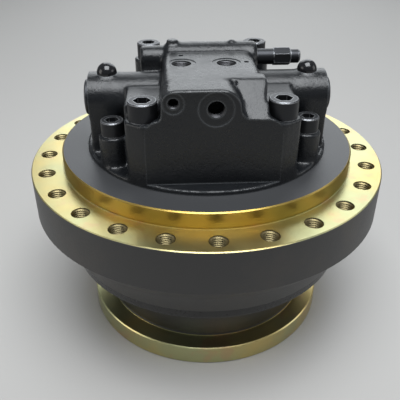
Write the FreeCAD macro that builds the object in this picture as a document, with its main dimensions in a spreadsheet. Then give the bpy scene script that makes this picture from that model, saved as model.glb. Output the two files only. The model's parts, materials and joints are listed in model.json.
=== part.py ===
"""Excavator final drive: travel motor, brake, valves and a two-stage planetary reducer.

The drive stands on its output flange with the motor uppermost. The origin is the centre of the
output flange's underside, +Z runs up the shaft axis and the front ports face -Y. The frame
flange, motor and carrier 2 stand still; the hub with its internal ring gear turns around them.
"""
import FreeCAD, Part
import math
import os
import re
import Sketcher
from FreeCAD import Placement, Rotation, Vector

DOC = FreeCAD.newDocument("FinalDrive")
SHEET = DOC.addObject("Spreadsheet::Sheet", "Sizes")

# ---------------------------------------------------------------------------------------------
# Driving sizes in millimetres, degrees and counts
# ---------------------------------------------------------------------------------------------
SIZES = {
    "Frame flange and drum": {
        "flange_radius": 257, "face_height": 255, "flange_thickness": 63,
        "frame_bolts": 24, "frame_circle": 471, "frame_thread": 24, "frame_depth": 46,
        "pilot_radius": 211, "pilot_height": 23, "edge": 1.5,
        "drum_radius": 248, "drum_step": 3, "drum_foot": 213, "drum_bottom": 126,
        "shelf_thickness": 50, "shelf_bore": 128, "shelf_depth": 20,
    },
    "Output hub": {
        "output_radius": 187, "output_thickness": 30, "neck_radius": 160,
        "sprocket_bolts": 20, "sprocket_circle": 344, "sprocket_thread": 20,
        "sprocket_depth": 23, "collar_radius": 178, "collar_height": 14, "hub_bore": 134,
    },
    "Main bearings and face seal": {
        "seat_radius": 150, "race_radius": 190, "bearing_width": 30, "bearing_gap": 2,
        "roller_radius": 8.5, "roller_length": 24, "rollers": 28, "roller_tilt": 12,
        "nut_radius": 168, "nut_height": 14, "nut_slots": 8,
        "carrier_height": 16, "carrier_radius": 209.7, "carrier_screws": 16,
        "seal_radius": 176, "seal_lip": 163, "seal_gap": 4,
    },
    "Gear train": {
        "gear_module": 3.75, "pressure_angle": 25, "backlash": 0.35, "ring_teeth": 72,
        "sun_1_teeth": 12, "planet_1_teeth": 30, "planets_1": 3,
        "sun_2_teeth": 16, "planet_2_teeth": 28, "planets_2": 4,
        "planet_1_width": 29, "planet_2_width": 36, "ring_outer": 148,
        "pin_1_radius": 14, "pin_2_radius": 16, "needle": 4, "pin_head": 2.4,
        "washer": 1.5, "thrust_gap": 0.5, "plate_1": 11, "plate_2": 16,
        "sun_2_spline": 22, "sun_2_bore": 15, "sun_shaft": 13,
        "carrier_2_radius": 126, "case_screw_circle": 224,
    },
    "End cover": {
        "cover_radius": 152, "cover_thickness": 10, "cover_recess": 5, "snap_depth": 3.5,
        "snap_height": 2.6, "plugs": 3, "plug_circle": 190, "plug_radius": 11,
        "button_radius": 12,
    },
    "Motor case": {
        "case_radius": 172, "case_body": 122, "case_cavity": 88,
        "case_floor": 162, "case_bottom": 122, "shaft_radius": 20, "bearing_outer": 40,
        "shaft_bearing": 22, "shaft_seal": 30,
    },
    "Rotating group and brake": {
        "block_radius": 66, "block_height": 51, "pistons": 9, "piston_circle": 90,
        "piston_radius": 10, "shoe_radius": 12, "shoe_height": 3.5, "swash_height": 200,
        "swash_tilt": 11, "swash_radius": 60, "swash_thickness": 12, "swash_bore": 27,
        "runner_radius": 34, "runner_inner": 30, "runner_outer": 56,
        "friction_discs": 3, "disc_thickness": 3, "disc_inner": 70, "disc_outer": 82,
        "brake_level": 231, "brake_piston_height": 15, "valve_plate": 5,
    },
    "Valve cover": {
        "disc_radius": 173.5, "disc_height": 6,
        "block_front": 153, "block_half": 86, "shoulder_half": 80, "shoulder_height": 90,
        "crown_height": 127, "crown_left": 62, "crown_right": 66, "crown_back": 12,
        "facet_left": 29, "facet_right": 66, "facet_back": 112, "facet_front": 150,
        "facet_drop": 35, "rear_depth": 150, "rear_start": 58, "rear_height": 62,
        "spool_x": -5, "spool_y": 20, "spool_height": 114, "spool_housing": 22,
        "spool_radius": 9, "spool_reach": 77, "bar_left": 57, "bar_right": 72, "neck_left": 92,
        "neck_housing": 17.5, "bar_rounding": 5, "spool_half": 38,
        "plug_depth": 14, "plug_neck": 24, "plug_hexagon": 24, "plug_flat": 11, "plug_tip": 14,
        "wide_pad_x": -47, "wide_pad": 8, "small_pad_x": 36, "small_pad": 4.5,
        "pad_height": 4, "pin_hole": 3, "pin_hole_left": -38, "pin_hole_right": -10,
        "arm_y": -22, "arm_height": 74, "arm_radius": 33, "arm_reach": 161,
        "arm_web": 23, "ledge_half": 109, "ledge_front": 112, "ledge_height": 96,
        "collar_inner": 126, "arm_collar": 34, "relief_bore": 15, "poppet_radius": 7,
        "end_cap": 24, "end_cap_height": 6, "dome_radius": 13.5, "dome_x": 136, "dome_depth": 3,
        "port_radius": 13, "port_face": 19, "port_a_x": -36, "port_b_x": 23, "port_y": -46,
        "port_depth": 32, "face_depth": 1.2, "pilot_hole": 3.5, "pilot_hole_depth": 12,
        "gauge_radius": 6.7, "gauge_face": 12.6, "gauge_x": -48, "gauge_height": 111,
        "drain_radius": 10.6, "drain_face": 21, "drain_x": 2, "drain_height": 103,
    },
    "Cover screws": {
        "cover_circle": 308, "large_thread": 24, "large_angle": 56.6, "large_seat": 84,
        "large_boss": 23, "large_grip": 30, "small_thread": 20, "small_angle": 34.3,
        "small_seat": 47, "small_boss": 19, "small_grip": 26,
    },
    "Clearances": {
        "fit": 0.05, "running": 0.15, "face_gap": 0.3, "shrink": 0.03,
    },
}


def fill_sheet():
    """Write every driving size as a plain number with its alias."""
    row = 1
    for section, entries in SIZES.items():
        SHEET.set("A%d" % row, section)
        row += 1
        for alias, number in entries.items():
            SHEET.set("A%d" % row, alias.replace("_", " "))
            SHEET.set("B%d" % row, str(number))
            SHEET.setAlias("B%d" % row, alias)
            row += 1
    DOC.recompute()


class Sizes:
    """The sheet's numbers as attributes, for shapes that are computed in Python."""


fill_sheet()
size = Sizes()
ALIASES = [alias for entries in SIZES.values() for alias in entries]
for alias in ALIASES:
    setattr(size, alias, float(SHEET.get(alias)))
ALIAS_PATTERN = re.compile(r"\b(" + "|".join(ALIASES) + r")\b")


def bind(item, prop, formula):
    """Tie a property to a formula written in the sheet's aliases."""
    item.setExpression(prop, ALIAS_PATTERN.sub(r"Sizes.\1", str(formula)))


def number(formula):
    """The present value of a formula written in the sheet's aliases."""
    found = SHEET.evalExpression(ALIAS_PATTERN.sub(r"\1", str(formula)))
    return float(found)


# ---------------------------------------------------------------------------------------------
# Helpers: turned bodies, drilled holes, primitives and booleans
# ---------------------------------------------------------------------------------------------
SIDEWAYS = Rotation(Vector(0, 1, 0), 90)
FORWARD = Rotation(Vector(1, 0, 0), 90)
UPRIGHT = Rotation()
KEPT = []


def keep(item, label):
    """Register an object as a finished sub-part under its node name."""
    item.Label = label
    KEPT.append(item)
    return item


def plane_of(body, role):
    """One of a body's own origin planes."""
    return [item for item in body.Origin.OriginFeatures if item.Role == role][0]


def outline(body, name, role, corners):
    """A closed polygon sketch whose corners are tied to formulas."""
    sketch = body.newObject("Sketcher::SketchObject", name)
    sketch.AttachmentSupport = [(plane_of(body, role), "")]
    sketch.MapMode = "FlatFace"
    places = [Vector(number(across), number(up), 0) for across, up in corners]
    count = len(corners)
    for index in range(count):
        sketch.addGeometry(Part.LineSegment(places[index], places[(index + 1) % count]), False)
    for index in range(count):
        sketch.addConstraint(Sketcher.Constraint("Coincident", index, 2, (index + 1) % count, 1))
    for index, (across, up) in enumerate(corners):
        place = places[index]
        for kind, formula, value, axis in (("DistanceX", across, place.x, -2),
                                           ("DistanceY", up, place.y, -1)):
            if str(formula) == "0":
                sketch.addConstraint(Sketcher.Constraint("PointOnObject", index, 1, axis))
            else:
                placed = sketch.addConstraint(Sketcher.Constraint(kind, -1, 1, index, 1, value))
                bind(sketch, "Constraints[%d]" % placed, formula)
    return sketch


def turned(name, corners):
    """A body revolved about Z from corners given as (radius, height)."""
    body = DOC.addObject("PartDesign::Body", name)
    sketch = outline(body, name + "_section", "XZ_Plane", corners)
    solid = body.newObject("PartDesign::Revolution", name + "_turned")
    solid.Profile = sketch
    solid.ReferenceAxis = (sketch, ["V_Axis"])
    solid.Angle = 360
    return body


def ring(name, inner, outer, low, high):
    """A turned ring of rectangular section."""
    return turned(name, [(inner, low), (outer, low), (outer, high), (inner, high)])


def drilled(body, name, radius, circle, level, depth, count, upward=True, phase="0"):
    """Cut a polar set of round holes into a body, from a level up or down."""
    DOC.recompute()
    sketch = body.newObject("Sketcher::SketchObject", name)
    sketch.AttachmentSupport = [(plane_of(body, "XY_Plane"), "")]
    sketch.MapMode = "FlatFace"
    bind(sketch, "AttachmentOffset.Base.z", level)
    turn = math.radians(number(phase))
    reach = number(circle) / 2
    centre = Vector(reach * math.cos(turn), reach * math.sin(turn), 0)
    sketch.addGeometry(Part.Circle(centre, Vector(0, 0, 1), number(radius)), False)
    radial = sketch.addConstraint(Sketcher.Constraint("Radius", 0, number(radius)))
    across = sketch.addConstraint(Sketcher.Constraint("DistanceX", -1, 1, 0, 3, centre.x))
    if phase == "0":
        sketch.addConstraint(Sketcher.Constraint("PointOnObject", 0, 3, -1))
        bind(sketch, "Constraints[%d]" % across, "(%s) / 2" % circle)
    else:
        along = sketch.addConstraint(Sketcher.Constraint("DistanceY", -1, 1, 0, 3, centre.y))
        bind(sketch, "Constraints[%d]" % across, "(%s) / 2 * cos((%s) * 1deg)" % (circle, phase))
        bind(sketch, "Constraints[%d]" % along, "(%s) / 2 * sin((%s) * 1deg)" % (circle, phase))
    bind(sketch, "Constraints[%d]" % radial, radius)
    pocket = body.newObject("PartDesign::Pocket", name + "_cut")
    pocket.Profile = sketch
    pocket.Type = 0
    bind(pocket, "Length", depth)
    pocket.Reversed = upward
    pattern = body.newObject("PartDesign::PolarPattern", name + "_pattern")
    pattern.Originals = [pocket]
    pattern.Axis = (sketch, ["N_Axis"])
    pattern.Angle = 360
    bind(pattern, "Occurrences", count)
    body.Tip = pattern
    return body


def place(item, x="0", y="0", z="0", turn=UPRIGHT):
    """Turn an object and tie its position to formulas."""
    item.Placement = Placement(Vector(), turn)
    for letter, formula in (("x", x), ("y", y), ("z", z)):
        if str(formula) != "0":
            bind(item, "Placement.Base." + letter, formula)
    return item


def cylinder(name, radius, height, x="0", y="0", z="0", turn=UPRIGHT):
    """A round bar from its base centre along its own axis."""
    item = DOC.addObject("Part::Cylinder", name)
    bind(item, "Radius", radius)
    bind(item, "Height", height)
    return place(item, x, y, z, turn)


def cone(name, low_radius, high_radius, height, x="0", y="0", z="0", turn=UPRIGHT):
    """A tapered round bar."""
    item = DOC.addObject("Part::Cone", name)
    bind(item, "Radius1", low_radius)
    bind(item, "Radius2", high_radius)
    bind(item, "Height", height)
    return place(item, x, y, z, turn)


def box(name, x, y, z, length, width, height):
    """A block from its low corner."""
    item = DOC.addObject("Part::Box", name)
    bind(item, "Length", length)
    bind(item, "Width", width)
    bind(item, "Height", height)
    return place(item, x, y, z)


def prism(name, flat_radius, height, x="0", y="0", z="0", turn=UPRIGHT):
    """A hexagonal bar given by its radius across the flats."""
    item = DOC.addObject("Part::Prism", name)
    item.Polygon = 6
    bind(item, "Circumradius", "(%s) / cos(30 deg)" % flat_radius)
    bind(item, "Height", height)
    return place(item, x, y, z, turn)


def fused(name, items):
    """The union of several objects."""
    item = DOC.addObject("Part::MultiFuse", name)
    item.Shapes = items
    return item


def cut(name, base, tools):
    """A base with tools removed."""
    item = DOC.addObject("Part::Cut", name)
    item.Base = base
    item.Tool = tools[0] if len(tools) == 1 else fused(name + "_tools", tools)
    return item


def group(name, items):
    """Separate solids kept as one node."""
    item = DOC.addObject("Part::Compound", name)
    item.Links = items
    return item


def padded(name, role, corners, start, length, roundings=()):
    """A body padded from an outline that starts at a distance from its origin plane."""
    body = DOC.addObject("PartDesign::Body", name)
    sketch = outline(body, name + "_outline", role, corners)
    bind(sketch, "AttachmentOffset.Base.z", start)
    solid = body.newObject("PartDesign::Pad", name + "_pad")
    solid.Profile = sketch
    bind(solid, "Length", length)
    for step, (indices, radius) in enumerate(roundings):
        DOC.recompute()
        rounded_edges(body, "%s_round_%d" % (name, step), role, corners, indices, radius)
    return body


def rounded_edges(body, name, role, corners, indices, radius):
    """Round the padded edges that stand on the given corners of the outline."""
    base = body.Tip
    names = []
    for index in indices:
        across, up = number(corners[index][0]), number(corners[index][1])
        for order, edge in enumerate(base.Shape.Edges):
            ends = [vertex.Point for vertex in edge.Vertexes]
            if len(ends) == 2 and all(on_corner(end, role, across, up) for end in ends):
                names.append("Edge%d" % (order + 1))
    fillet = body.newObject("PartDesign::Fillet", name)
    fillet.Base = (base, names)
    bind(fillet, "Radius", radius)
    body.Tip = fillet
    return fillet


def on_corner(point, role, across, up):
    """Whether a point stands over an outline corner of the given plane."""
    sides = {"XY_Plane": (point.x, point.y), "XZ_Plane": (point.x, point.z),
             "YZ_Plane": (point.y, point.z)}[role]
    return abs(sides[0] - across) < 1e-4 and abs(sides[1] - up) < 1e-4


def computed(name, shape):
    """A feature whose shape is computed from the sheet's sizes."""
    item = DOC.addObject("Part::Feature", name)
    item.Shape = shape
    return item


def around(shape, count, phase=0.0):
    """Copies of a shape spaced evenly about Z, as a list."""
    copies = []
    for index in range(int(count)):
        turn = Rotation(Vector(0, 0, 1), phase + 360.0 * index / count)
        copy = shape.copy()
        copy.Placement = Placement(Vector(), turn).multiply(shape.Placement)
        copies.append(copy)
    return copies


# ---------------------------------------------------------------------------------------------
# Levels shared by several sub-parts
# ---------------------------------------------------------------------------------------------
PILOT_TOP = "(face_height + pilot_height)"
DISC_TOP = "(%s + disc_height)" % PILOT_TOP
SHELF_TOP = "(%s - shelf_depth)" % PILOT_TOP
SHELF_BOTTOM = "(%s - shelf_thickness)" % SHELF_TOP
SKIRT = "(face_height - flange_thickness)"
LOW_BEARING = "(drum_bottom + 2)"
HIGH_BEARING = "(%s + bearing_width + bearing_gap)" % LOW_BEARING
BEARING_TOP = "(%s + bearing_width)" % HIGH_BEARING
NUT_TOP = "(%s + nut_height)" % BEARING_TOP
CARRIER_FOOT = "(drum_bottom - carrier_height)"
COLLAR_TOP = "(%s - seal_gap)" % CARRIER_FOOT
COVER_TOP = "(cover_recess + cover_thickness)"
RING_TOP = "(case_bottom - plate_2)"
PIN_1_FOOT = "(%s + 1.5)" % COVER_TOP
PLANET_1_LOW = "(%s + pin_head + thrust_gap)" % PIN_1_FOOT
PLANET_1_TOP = "(%s + planet_1_width)" % PLANET_1_LOW
PLATE_1_LOW = "(%s + washer + 2 * thrust_gap)" % PLANET_1_TOP
PLATE_1_TOP = "(%s + plate_1)" % PLATE_1_LOW
PLATE_2_LOW = "(case_bottom - plate_2)"
PLANET_2_TOP = "(%s - washer - 2 * thrust_gap)" % PLATE_2_LOW
PLANET_2_LOW = "(%s - planet_2_width)" % PLANET_2_TOP
PIN_2_FOOT = "(%s - thrust_gap - pin_head)" % PLANET_2_LOW
CENTRE_1 = "(gear_module * (sun_1_teeth + planet_1_teeth) / 2)"
CENTRE_2 = "(gear_module * (sun_2_teeth + planet_2_teeth) / 2)"
BLOCK_TOP = "(%s + 1)" % PILOT_TOP
BLOCK_LOW = "(%s - block_height)" % BLOCK_TOP
PLATE_POCKET = "(%s + face_gap + valve_plate)" % BLOCK_TOP


# ---------------------------------------------------------------------------------------------
# Stationary drum and its seal carrier
# ---------------------------------------------------------------------------------------------
def frame_housing():
    """Flanged drum: pilot and tapped face for the track frame, bearing bore below."""
    body = turned("frame_housing", [
        ("case_radius", PILOT_TOP),
        ("pilot_radius - edge", PILOT_TOP),
        ("pilot_radius", PILOT_TOP + " - edge"),
        ("pilot_radius", "face_height - 1"),
        ("pilot_radius + 2", "face_height - 1"),
        ("pilot_radius + 2", "face_height"),
        ("flange_radius - edge", "face_height"),
        ("flange_radius", "face_height - edge"),
        ("flange_radius", SKIRT + " + edge"),
        ("flange_radius - edge", SKIRT),
        ("drum_radius", SKIRT + " - drum_step"),
        ("drum_radius - 15", SKIRT + " - 26"),
        ("drum_foot", "drum_bottom"),
        ("race_radius", "drum_bottom"),
        ("race_radius", BEARING_TOP),
        ("race_radius - 12", BEARING_TOP),
        ("race_radius - 12", SHELF_BOTTOM),
        ("shelf_bore", SHELF_BOTTOM),
        ("shelf_bore", SHELF_TOP),
        ("case_radius", SHELF_TOP),
    ])
    drilled(body, "frame_bolt_holes", "frame_thread / 2", "frame_circle", "face_height",
            "frame_depth", "frame_bolts", upward=False)
    drilled(body, "seal_carrier_taps", "5", "2 * carrier_radius - 20", "drum_bottom",
            "18", "carrier_screws")
    for name in ("large", "small"):
        corner_holes(body, name + "_cover_taps", name + "_thread / 2", name + "_angle",
                     SHELF_TOP, name + "_grip + 4")
    return keep(body, "frame_housing")


def corner_holes(body, name, radius, angle, level, depth):
    """Four holes on the cover's bolt circle, mirrored across both vertical planes."""
    DOC.recompute()
    sketch = body.newObject("Sketcher::SketchObject", name)
    sketch.AttachmentSupport = [(plane_of(body, "XY_Plane"), "")]
    sketch.MapMode = "FlatFace"
    bind(sketch, "AttachmentOffset.Base.z", level)
    across = "cover_circle / 2 * cos(%s * 1deg)" % angle
    along = "cover_circle / 2 * sin(%s * 1deg)" % angle
    for index, (side, end) in enumerate(CORNERS):
        centre = Vector(side * number(across), end * number(along), 0)
        sketch.addGeometry(Part.Circle(centre, Vector(0, 0, 1), number(radius)), False)
        for kind, value, formula in (("DistanceX", centre.x, "%d * (%s)" % (side, across)),
                                     ("DistanceY", centre.y, "%d * (%s)" % (end, along))):
            placed = sketch.addConstraint(Sketcher.Constraint(kind, -1, 1, index, 3, value))
            bind(sketch, "Constraints[%d]" % placed, formula)
        radial = sketch.addConstraint(Sketcher.Constraint("Radius", index, number(radius)))
        bind(sketch, "Constraints[%d]" % radial, radius)
    pocket = body.newObject("PartDesign::Pocket", name + "_cut")
    pocket.Profile = sketch
    pocket.Type = 0
    bind(pocket, "Length", depth)
    body.Tip = pocket


def corner_spots(angle):
    """The four places on the cover's bolt circle as (x, y)."""
    turn = math.radians(angle)
    reach = size.cover_circle / 2
    return [(side * reach * math.cos(turn), end * reach * math.sin(turn))
            for side, end in CORNERS]


CORNERS = [(-1, -1), (1, -1), (1, 1), (-1, 1)]


def seal_carrier():
    """Bolted ring that holds the bearings up and the fixed seal ring."""
    body = turned("seal_carrier", [
        ("seal_lip", "drum_bottom - 3"),
        ("seal_radius", "drum_bottom - 3"),
        ("seal_radius", CARRIER_FOOT),
        ("carrier_radius - edge", CARRIER_FOOT),
        ("carrier_radius", CARRIER_FOOT + " + edge"),
        ("carrier_radius", "drum_bottom"),
        ("race_radius - fit", "drum_bottom"),
        ("race_radius - fit", LOW_BEARING),
        ("race_radius - 10", LOW_BEARING),
        ("race_radius - 10", "drum_bottom"),
        ("seal_lip", "drum_bottom"),
    ])
    drilled(body, "screw_clearance", "5.5", "2 * carrier_radius - 20", CARRIER_FOOT,
            "carrier_height", "carrier_screws")
    drilled(body, "screw_recess", "8.2", "2 * carrier_radius - 20", CARRIER_FOOT,
            "10.5", "carrier_screws")
    return keep(body, "seal_carrier")


def socket_screw(thread, length, chamfer=1.2):
    """A socket-head cap screw pointing down, its seat at height 0."""
    radius = thread / 2 - size.shrink
    head_radius = 0.75 * thread
    section = [Vector(0, 0, -length), Vector(radius - chamfer, 0, -length),
               Vector(radius, 0, -length + chamfer), Vector(radius, 0, 0),
               Vector(head_radius, 0, 0), Vector(head_radius, 0, thread - chamfer),
               Vector(head_radius - chamfer, 0, thread), Vector(0, 0, thread)]
    body = Part.Face(Part.makePolygon(section + section[:1]))
    body = body.revolve(Vector(), Vector(0, 0, 1), 360)
    corner = 0.8 * thread / 2 / math.cos(math.radians(30))
    hexagon = [Vector(corner * math.cos(math.radians(60 * step)),
                      corner * math.sin(math.radians(60 * step)), 0.45 * thread)
               for step in range(7)]
    socket = Part.Face(Part.makePolygon(hexagon)).extrude(Vector(0, 0, thread))
    return body.cut(socket)


def seal_carrier_screws():
    """Cap screws that hold the seal carrier, heads down."""
    screw = socket_screw(10, 22, chamfer=0.8)
    circle = size.carrier_radius - 10
    screw.Placement = Placement(Vector(circle, 0, number(CARRIER_FOOT) + 10.5),
                                Rotation(Vector(1, 0, 0), 180))
    copies = around(screw, size.carrier_screws)
    return keep(computed("seal_carrier_screws", Part.makeCompound(copies)),
                "seal_carrier_screws")


# ---------------------------------------------------------------------------------------------
# Output hub, bearings and face seal
# ---------------------------------------------------------------------------------------------
def output_hub():
    """Turning hub: sprocket flange at the foot, neck, seal collar and bearing seat."""
    body = turned("output_hub", [
        ("cover_radius", "0"),
        ("output_radius - edge", "0"),
        ("output_radius", "edge"),
        ("output_radius", "output_thickness - edge"),
        ("output_radius - edge", "output_thickness"),
        ("neck_radius + 1.5", "output_thickness"),
        ("neck_radius", "output_thickness + 3"),
        ("neck_radius", COLLAR_TOP + " - collar_height - 4"),
        ("collar_radius", COLLAR_TOP + " - collar_height"),
        ("collar_radius", COLLAR_TOP),
        ("seal_radius", COLLAR_TOP),
        ("seal_radius", COLLAR_TOP + " - 8"),
        ("seal_lip", COLLAR_TOP + " - 8"),
        ("seal_lip", COLLAR_TOP),
        ("neck_radius", COLLAR_TOP),
        ("neck_radius", LOW_BEARING),
        ("seat_radius", LOW_BEARING),
        ("seat_radius", NUT_TOP),
        ("hub_bore", NUT_TOP),
        ("hub_bore", RING_TOP),
        ("ring_outer", RING_TOP),
        ("ring_outer", COVER_TOP),
        ("cover_radius", COVER_TOP),
        ("cover_radius", "cover_recess"),
        ("cover_radius + snap_depth", "cover_recess"),
        ("cover_radius + snap_depth", "cover_recess - snap_height"),
        ("cover_radius", "cover_recess - snap_height"),
    ])
    drilled(body, "sprocket_bolt_holes", "sprocket_thread / 2", "sprocket_circle", "0",
            "sprocket_depth", "sprocket_bolts")
    return keep(body, "output_hub")


def main_bearings():
    """Two taper roller bearings, back to back, between the drum and the hub."""
    lean = math.tan(math.radians(size.roller_tilt))
    middle = (size.seat_radius + size.race_radius) / 2
    half = size.bearing_width / 2
    outer_rings = []
    inner_rings = []
    rollers = []
    cages = []
    for low, flip in ((number(LOW_BEARING), 1), (number(HIGH_BEARING), -1)):
        centre = low + half
        outer_near = middle + size.roller_radius / math.cos(math.radians(size.roller_tilt))
        inner_near = middle - size.roller_radius / math.cos(math.radians(size.roller_tilt))
        spread = half * lean * flip
        outer_face = outer_near + size.running
        inner_face = inner_near - size.running
        outer_rings.append(section_ring([
            (outer_face + spread, low), (size.race_radius, low),
            (size.race_radius, low + 2 * half), (outer_face - spread, low + 2 * half)]))
        inner_rings.append(section_ring([
            (size.seat_radius, low), (inner_face + spread, low),
            (inner_face - spread, low + 2 * half), (size.seat_radius, low + 2 * half)]))
        roller = Part.makeCylinder(size.roller_radius, size.roller_length,
                                   Vector(0, 0, -size.roller_length / 2))
        roller.Placement = Placement(Vector(middle, 0, centre),
                                     Rotation(Vector(0, 1, 0), -flip * size.roller_tilt))
        rollers.extend(around(roller, size.rollers))
        cage_low = centre - size.roller_length / 2 - 1
        cages.append(bearing_cage(middle, cage_low, size.roller_length + 2, lean * flip))
    keep(computed("main_bearing_outer_rings", Part.makeCompound(outer_rings)),
         "main_bearing_outer_rings")
    keep(computed("main_bearing_inner_rings", Part.makeCompound(inner_rings)),
         "main_bearing_inner_rings")
    keep(computed("main_bearing_rollers", Part.makeCompound(rollers)), "main_bearing_rollers")
    keep(computed("main_bearing_cages", Part.makeCompound(cages)), "main_bearing_cages")


def section_ring(corners):
    """A solid of revolution about Z from (radius, height) corners."""
    points = [Vector(radius, 0, height) for radius, height in corners]
    face = Part.Face(Part.makePolygon(points + points[:1]))
    return face.revolve(Vector(), Vector(0, 0, 1), 360)


def bearing_cage(middle, low, height, lean):
    """A window cage: a thin conical band with one window for each roller."""
    thick = 1.6
    drop = height * lean
    mean = middle + drop / 2
    band = section_ring([(mean - thick, low), (mean + thick, low),
                         (mean + thick - drop, low + height), (mean - thick - drop, low + height)])
    window = Part.makeBox(40, 2 * size.roller_radius + 0.8, size.roller_length + 0.8,
                          Vector(-20, -size.roller_radius - 0.4, -size.roller_length / 2 - 0.4))
    tilt = math.degrees(math.atan(lean))
    window.Placement = Placement(Vector(middle, 0, low + height / 2),
                                 Rotation(Vector(0, 1, 0), -tilt))
    return band.cut(Part.makeCompound(around(window, size.rollers)))


def bearing_nut():
    """Slotted round nut that loads the bearings on the hub."""
    body = ring("nut_blank", "seat_radius", "nut_radius", BEARING_TOP, NUT_TOP)
    slot = box("nut_slot", "nut_radius - 6", "-5", NUT_TOP + " - 7", "12", "10", "8")
    DOC.recompute()
    slots = computed("nut_slots_cut", Part.makeCompound(around(slot.Shape, size.nut_slots)))
    return keep(cut("bearing_nut_slotted", body, [slots]), "bearing_nut")


def face_seal():
    """The pair of lapped seal rings between collar and carrier."""
    contact = CARRIER_FOOT + " - seal_gap / 2 + 4"
    fixed = turned("fixed_seal_ring", [
        ("seal_lip + fit", contact + " + face_gap / 2"),
        ("seal_radius - 4", contact + " + face_gap / 2"),
        ("seal_radius - fit", contact + " + 3"),
        ("seal_radius - fit", "drum_bottom - 3 - fit"),
        ("seal_lip + fit", "drum_bottom - 3 - fit"),
    ])
    turning = turned("turning_seal_ring", [
        ("seal_lip + fit", COLLAR_TOP + " - 8 + fit"),
        ("seal_radius - fit", COLLAR_TOP + " - 8 + fit"),
        ("seal_radius - fit", contact + " - 4"),
        ("seal_radius - 4", contact + " - face_gap / 2"),
        ("seal_lip + fit", contact + " - face_gap / 2"),
    ])
    keep(fixed, "fixed_seal_ring")
    keep(turning, "turning_seal_ring")


# ---------------------------------------------------------------------------------------------
# Gear train
# ---------------------------------------------------------------------------------------------
def flank_points(teeth, internal=False):
    """Flank of one tooth, root to tip, as (radius, half angle) of an involute."""
    module = size.gear_module
    pressure = math.radians(size.pressure_angle)
    pitch = module * teeth / 2
    base = pitch * math.cos(pressure)
    if internal:
        low, high = pitch - module, pitch + 1.25 * module
        half = (math.pi * module / 2 + size.backlash / 2) / 2 / pitch
    else:
        low, high = pitch - 1.25 * module, pitch + module
        half = (math.pi * module / 2 - size.backlash / 2) / 2 / pitch
    involute = math.tan(pressure) - pressure
    points = []
    start = max(low, base)
    for step in range(3):
        radius = start + (high - start) * step / 2
        angle = math.acos(min(1.0, base / radius))
        points.append((radius, half + involute - (math.tan(angle) - angle)))
    return low, high, points


def gear_outline(teeth, internal=False, phase=0.0):
    """Closed wire of a gear's teeth, with each flank one arc through three points."""
    low, high, flank = flank_points(teeth, internal)
    edges = []
    pitch_angle = 2 * math.pi / teeth

    def at(radius, angle):
        return Vector(radius * math.cos(angle + phase), radius * math.sin(angle + phase), 0)

    for tooth in range(int(teeth)):
        middle = tooth * pitch_angle
        left = [at(radius, middle - half) for radius, half in flank]
        right = [at(radius, middle + half) for radius, half in reversed(flank)]
        foot_half = flank[0][1]
        if flank[0][0] > low + 1e-6:
            edges.append(Part.LineSegment(at(low, middle - foot_half), left[0]).toShape())
        edges.append(Part.Arc(*left).toShape())
        edges.append(Part.LineSegment(left[-1], right[0]).toShape())
        edges.append(Part.Arc(*right).toShape())
        if flank[0][0] > low + 1e-6:
            edges.append(Part.LineSegment(right[-1], at(low, middle + foot_half)).toShape())
        here = at(low, middle + foot_half)
        there = at(low, middle + pitch_angle - foot_half)
        edges.append(Part.LineSegment(here, there).toShape())
    return Part.Wire(edges)


def spur_gear(teeth, bore, low, high, phase=0.0):
    """A spur gear about Z with a plain bore."""
    face = Part.Face(gear_outline(teeth, phase=phase))
    gear = face.extrude(Vector(0, 0, high - low))
    gear.translate(Vector(0, 0, low))
    hole = Part.makeCylinder(bore, high - low + 2, Vector(0, 0, low - 1))
    return gear.cut(hole)


def ring_gear():
    """Internal ring gear shared by both stages, held in the hub."""
    low, high = number(COVER_TOP), number(RING_TOP)
    blank = Part.makeCylinder(size.ring_outer - size.shrink, high - low, Vector(0, 0, low))
    teeth = Part.Face(gear_outline(size.ring_teeth, internal=True))
    teeth = teeth.extrude(Vector(0, 0, high - low + 2))
    teeth.translate(Vector(0, 0, low - 1))
    return keep(computed("ring_gear", blank.cut(teeth)), "ring_gear")


def mesh_phase(sun_teeth, planet_teeth, angle):
    """Turn of a planet that meshes with the sun and ring at its place on the carrier.

    The ring has a tooth space and the sun a tooth on +X. A planet there shows a tooth to the
    ring; moved round to its own angle it rolls along the ring.
    """
    step = math.radians(angle)
    return step - step * size.ring_teeth / planet_teeth


def sun_phase(sun_teeth, planet_teeth):
    """Turn of a sun that meets the planet on +X, tooth to space."""
    return 0.0 if planet_teeth % 2 else math.pi / sun_teeth


def planets(stage, teeth, sun_teeth, count, centre, low, width, bore):
    """One planet gear for each place on the carrier."""
    letters = "abcd"
    for index in range(int(count)):
        angle = 360.0 * index / count
        gear = spur_gear(teeth, bore, low, low + width,
                         mesh_phase(sun_teeth, teeth, angle))
        turn = math.radians(angle)
        gear.translate(Vector(centre * math.cos(turn), centre * math.sin(turn), 0))
        name = "planet_%d_%s" % (stage, letters[index])
        keep(computed(name, gear), name)


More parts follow.
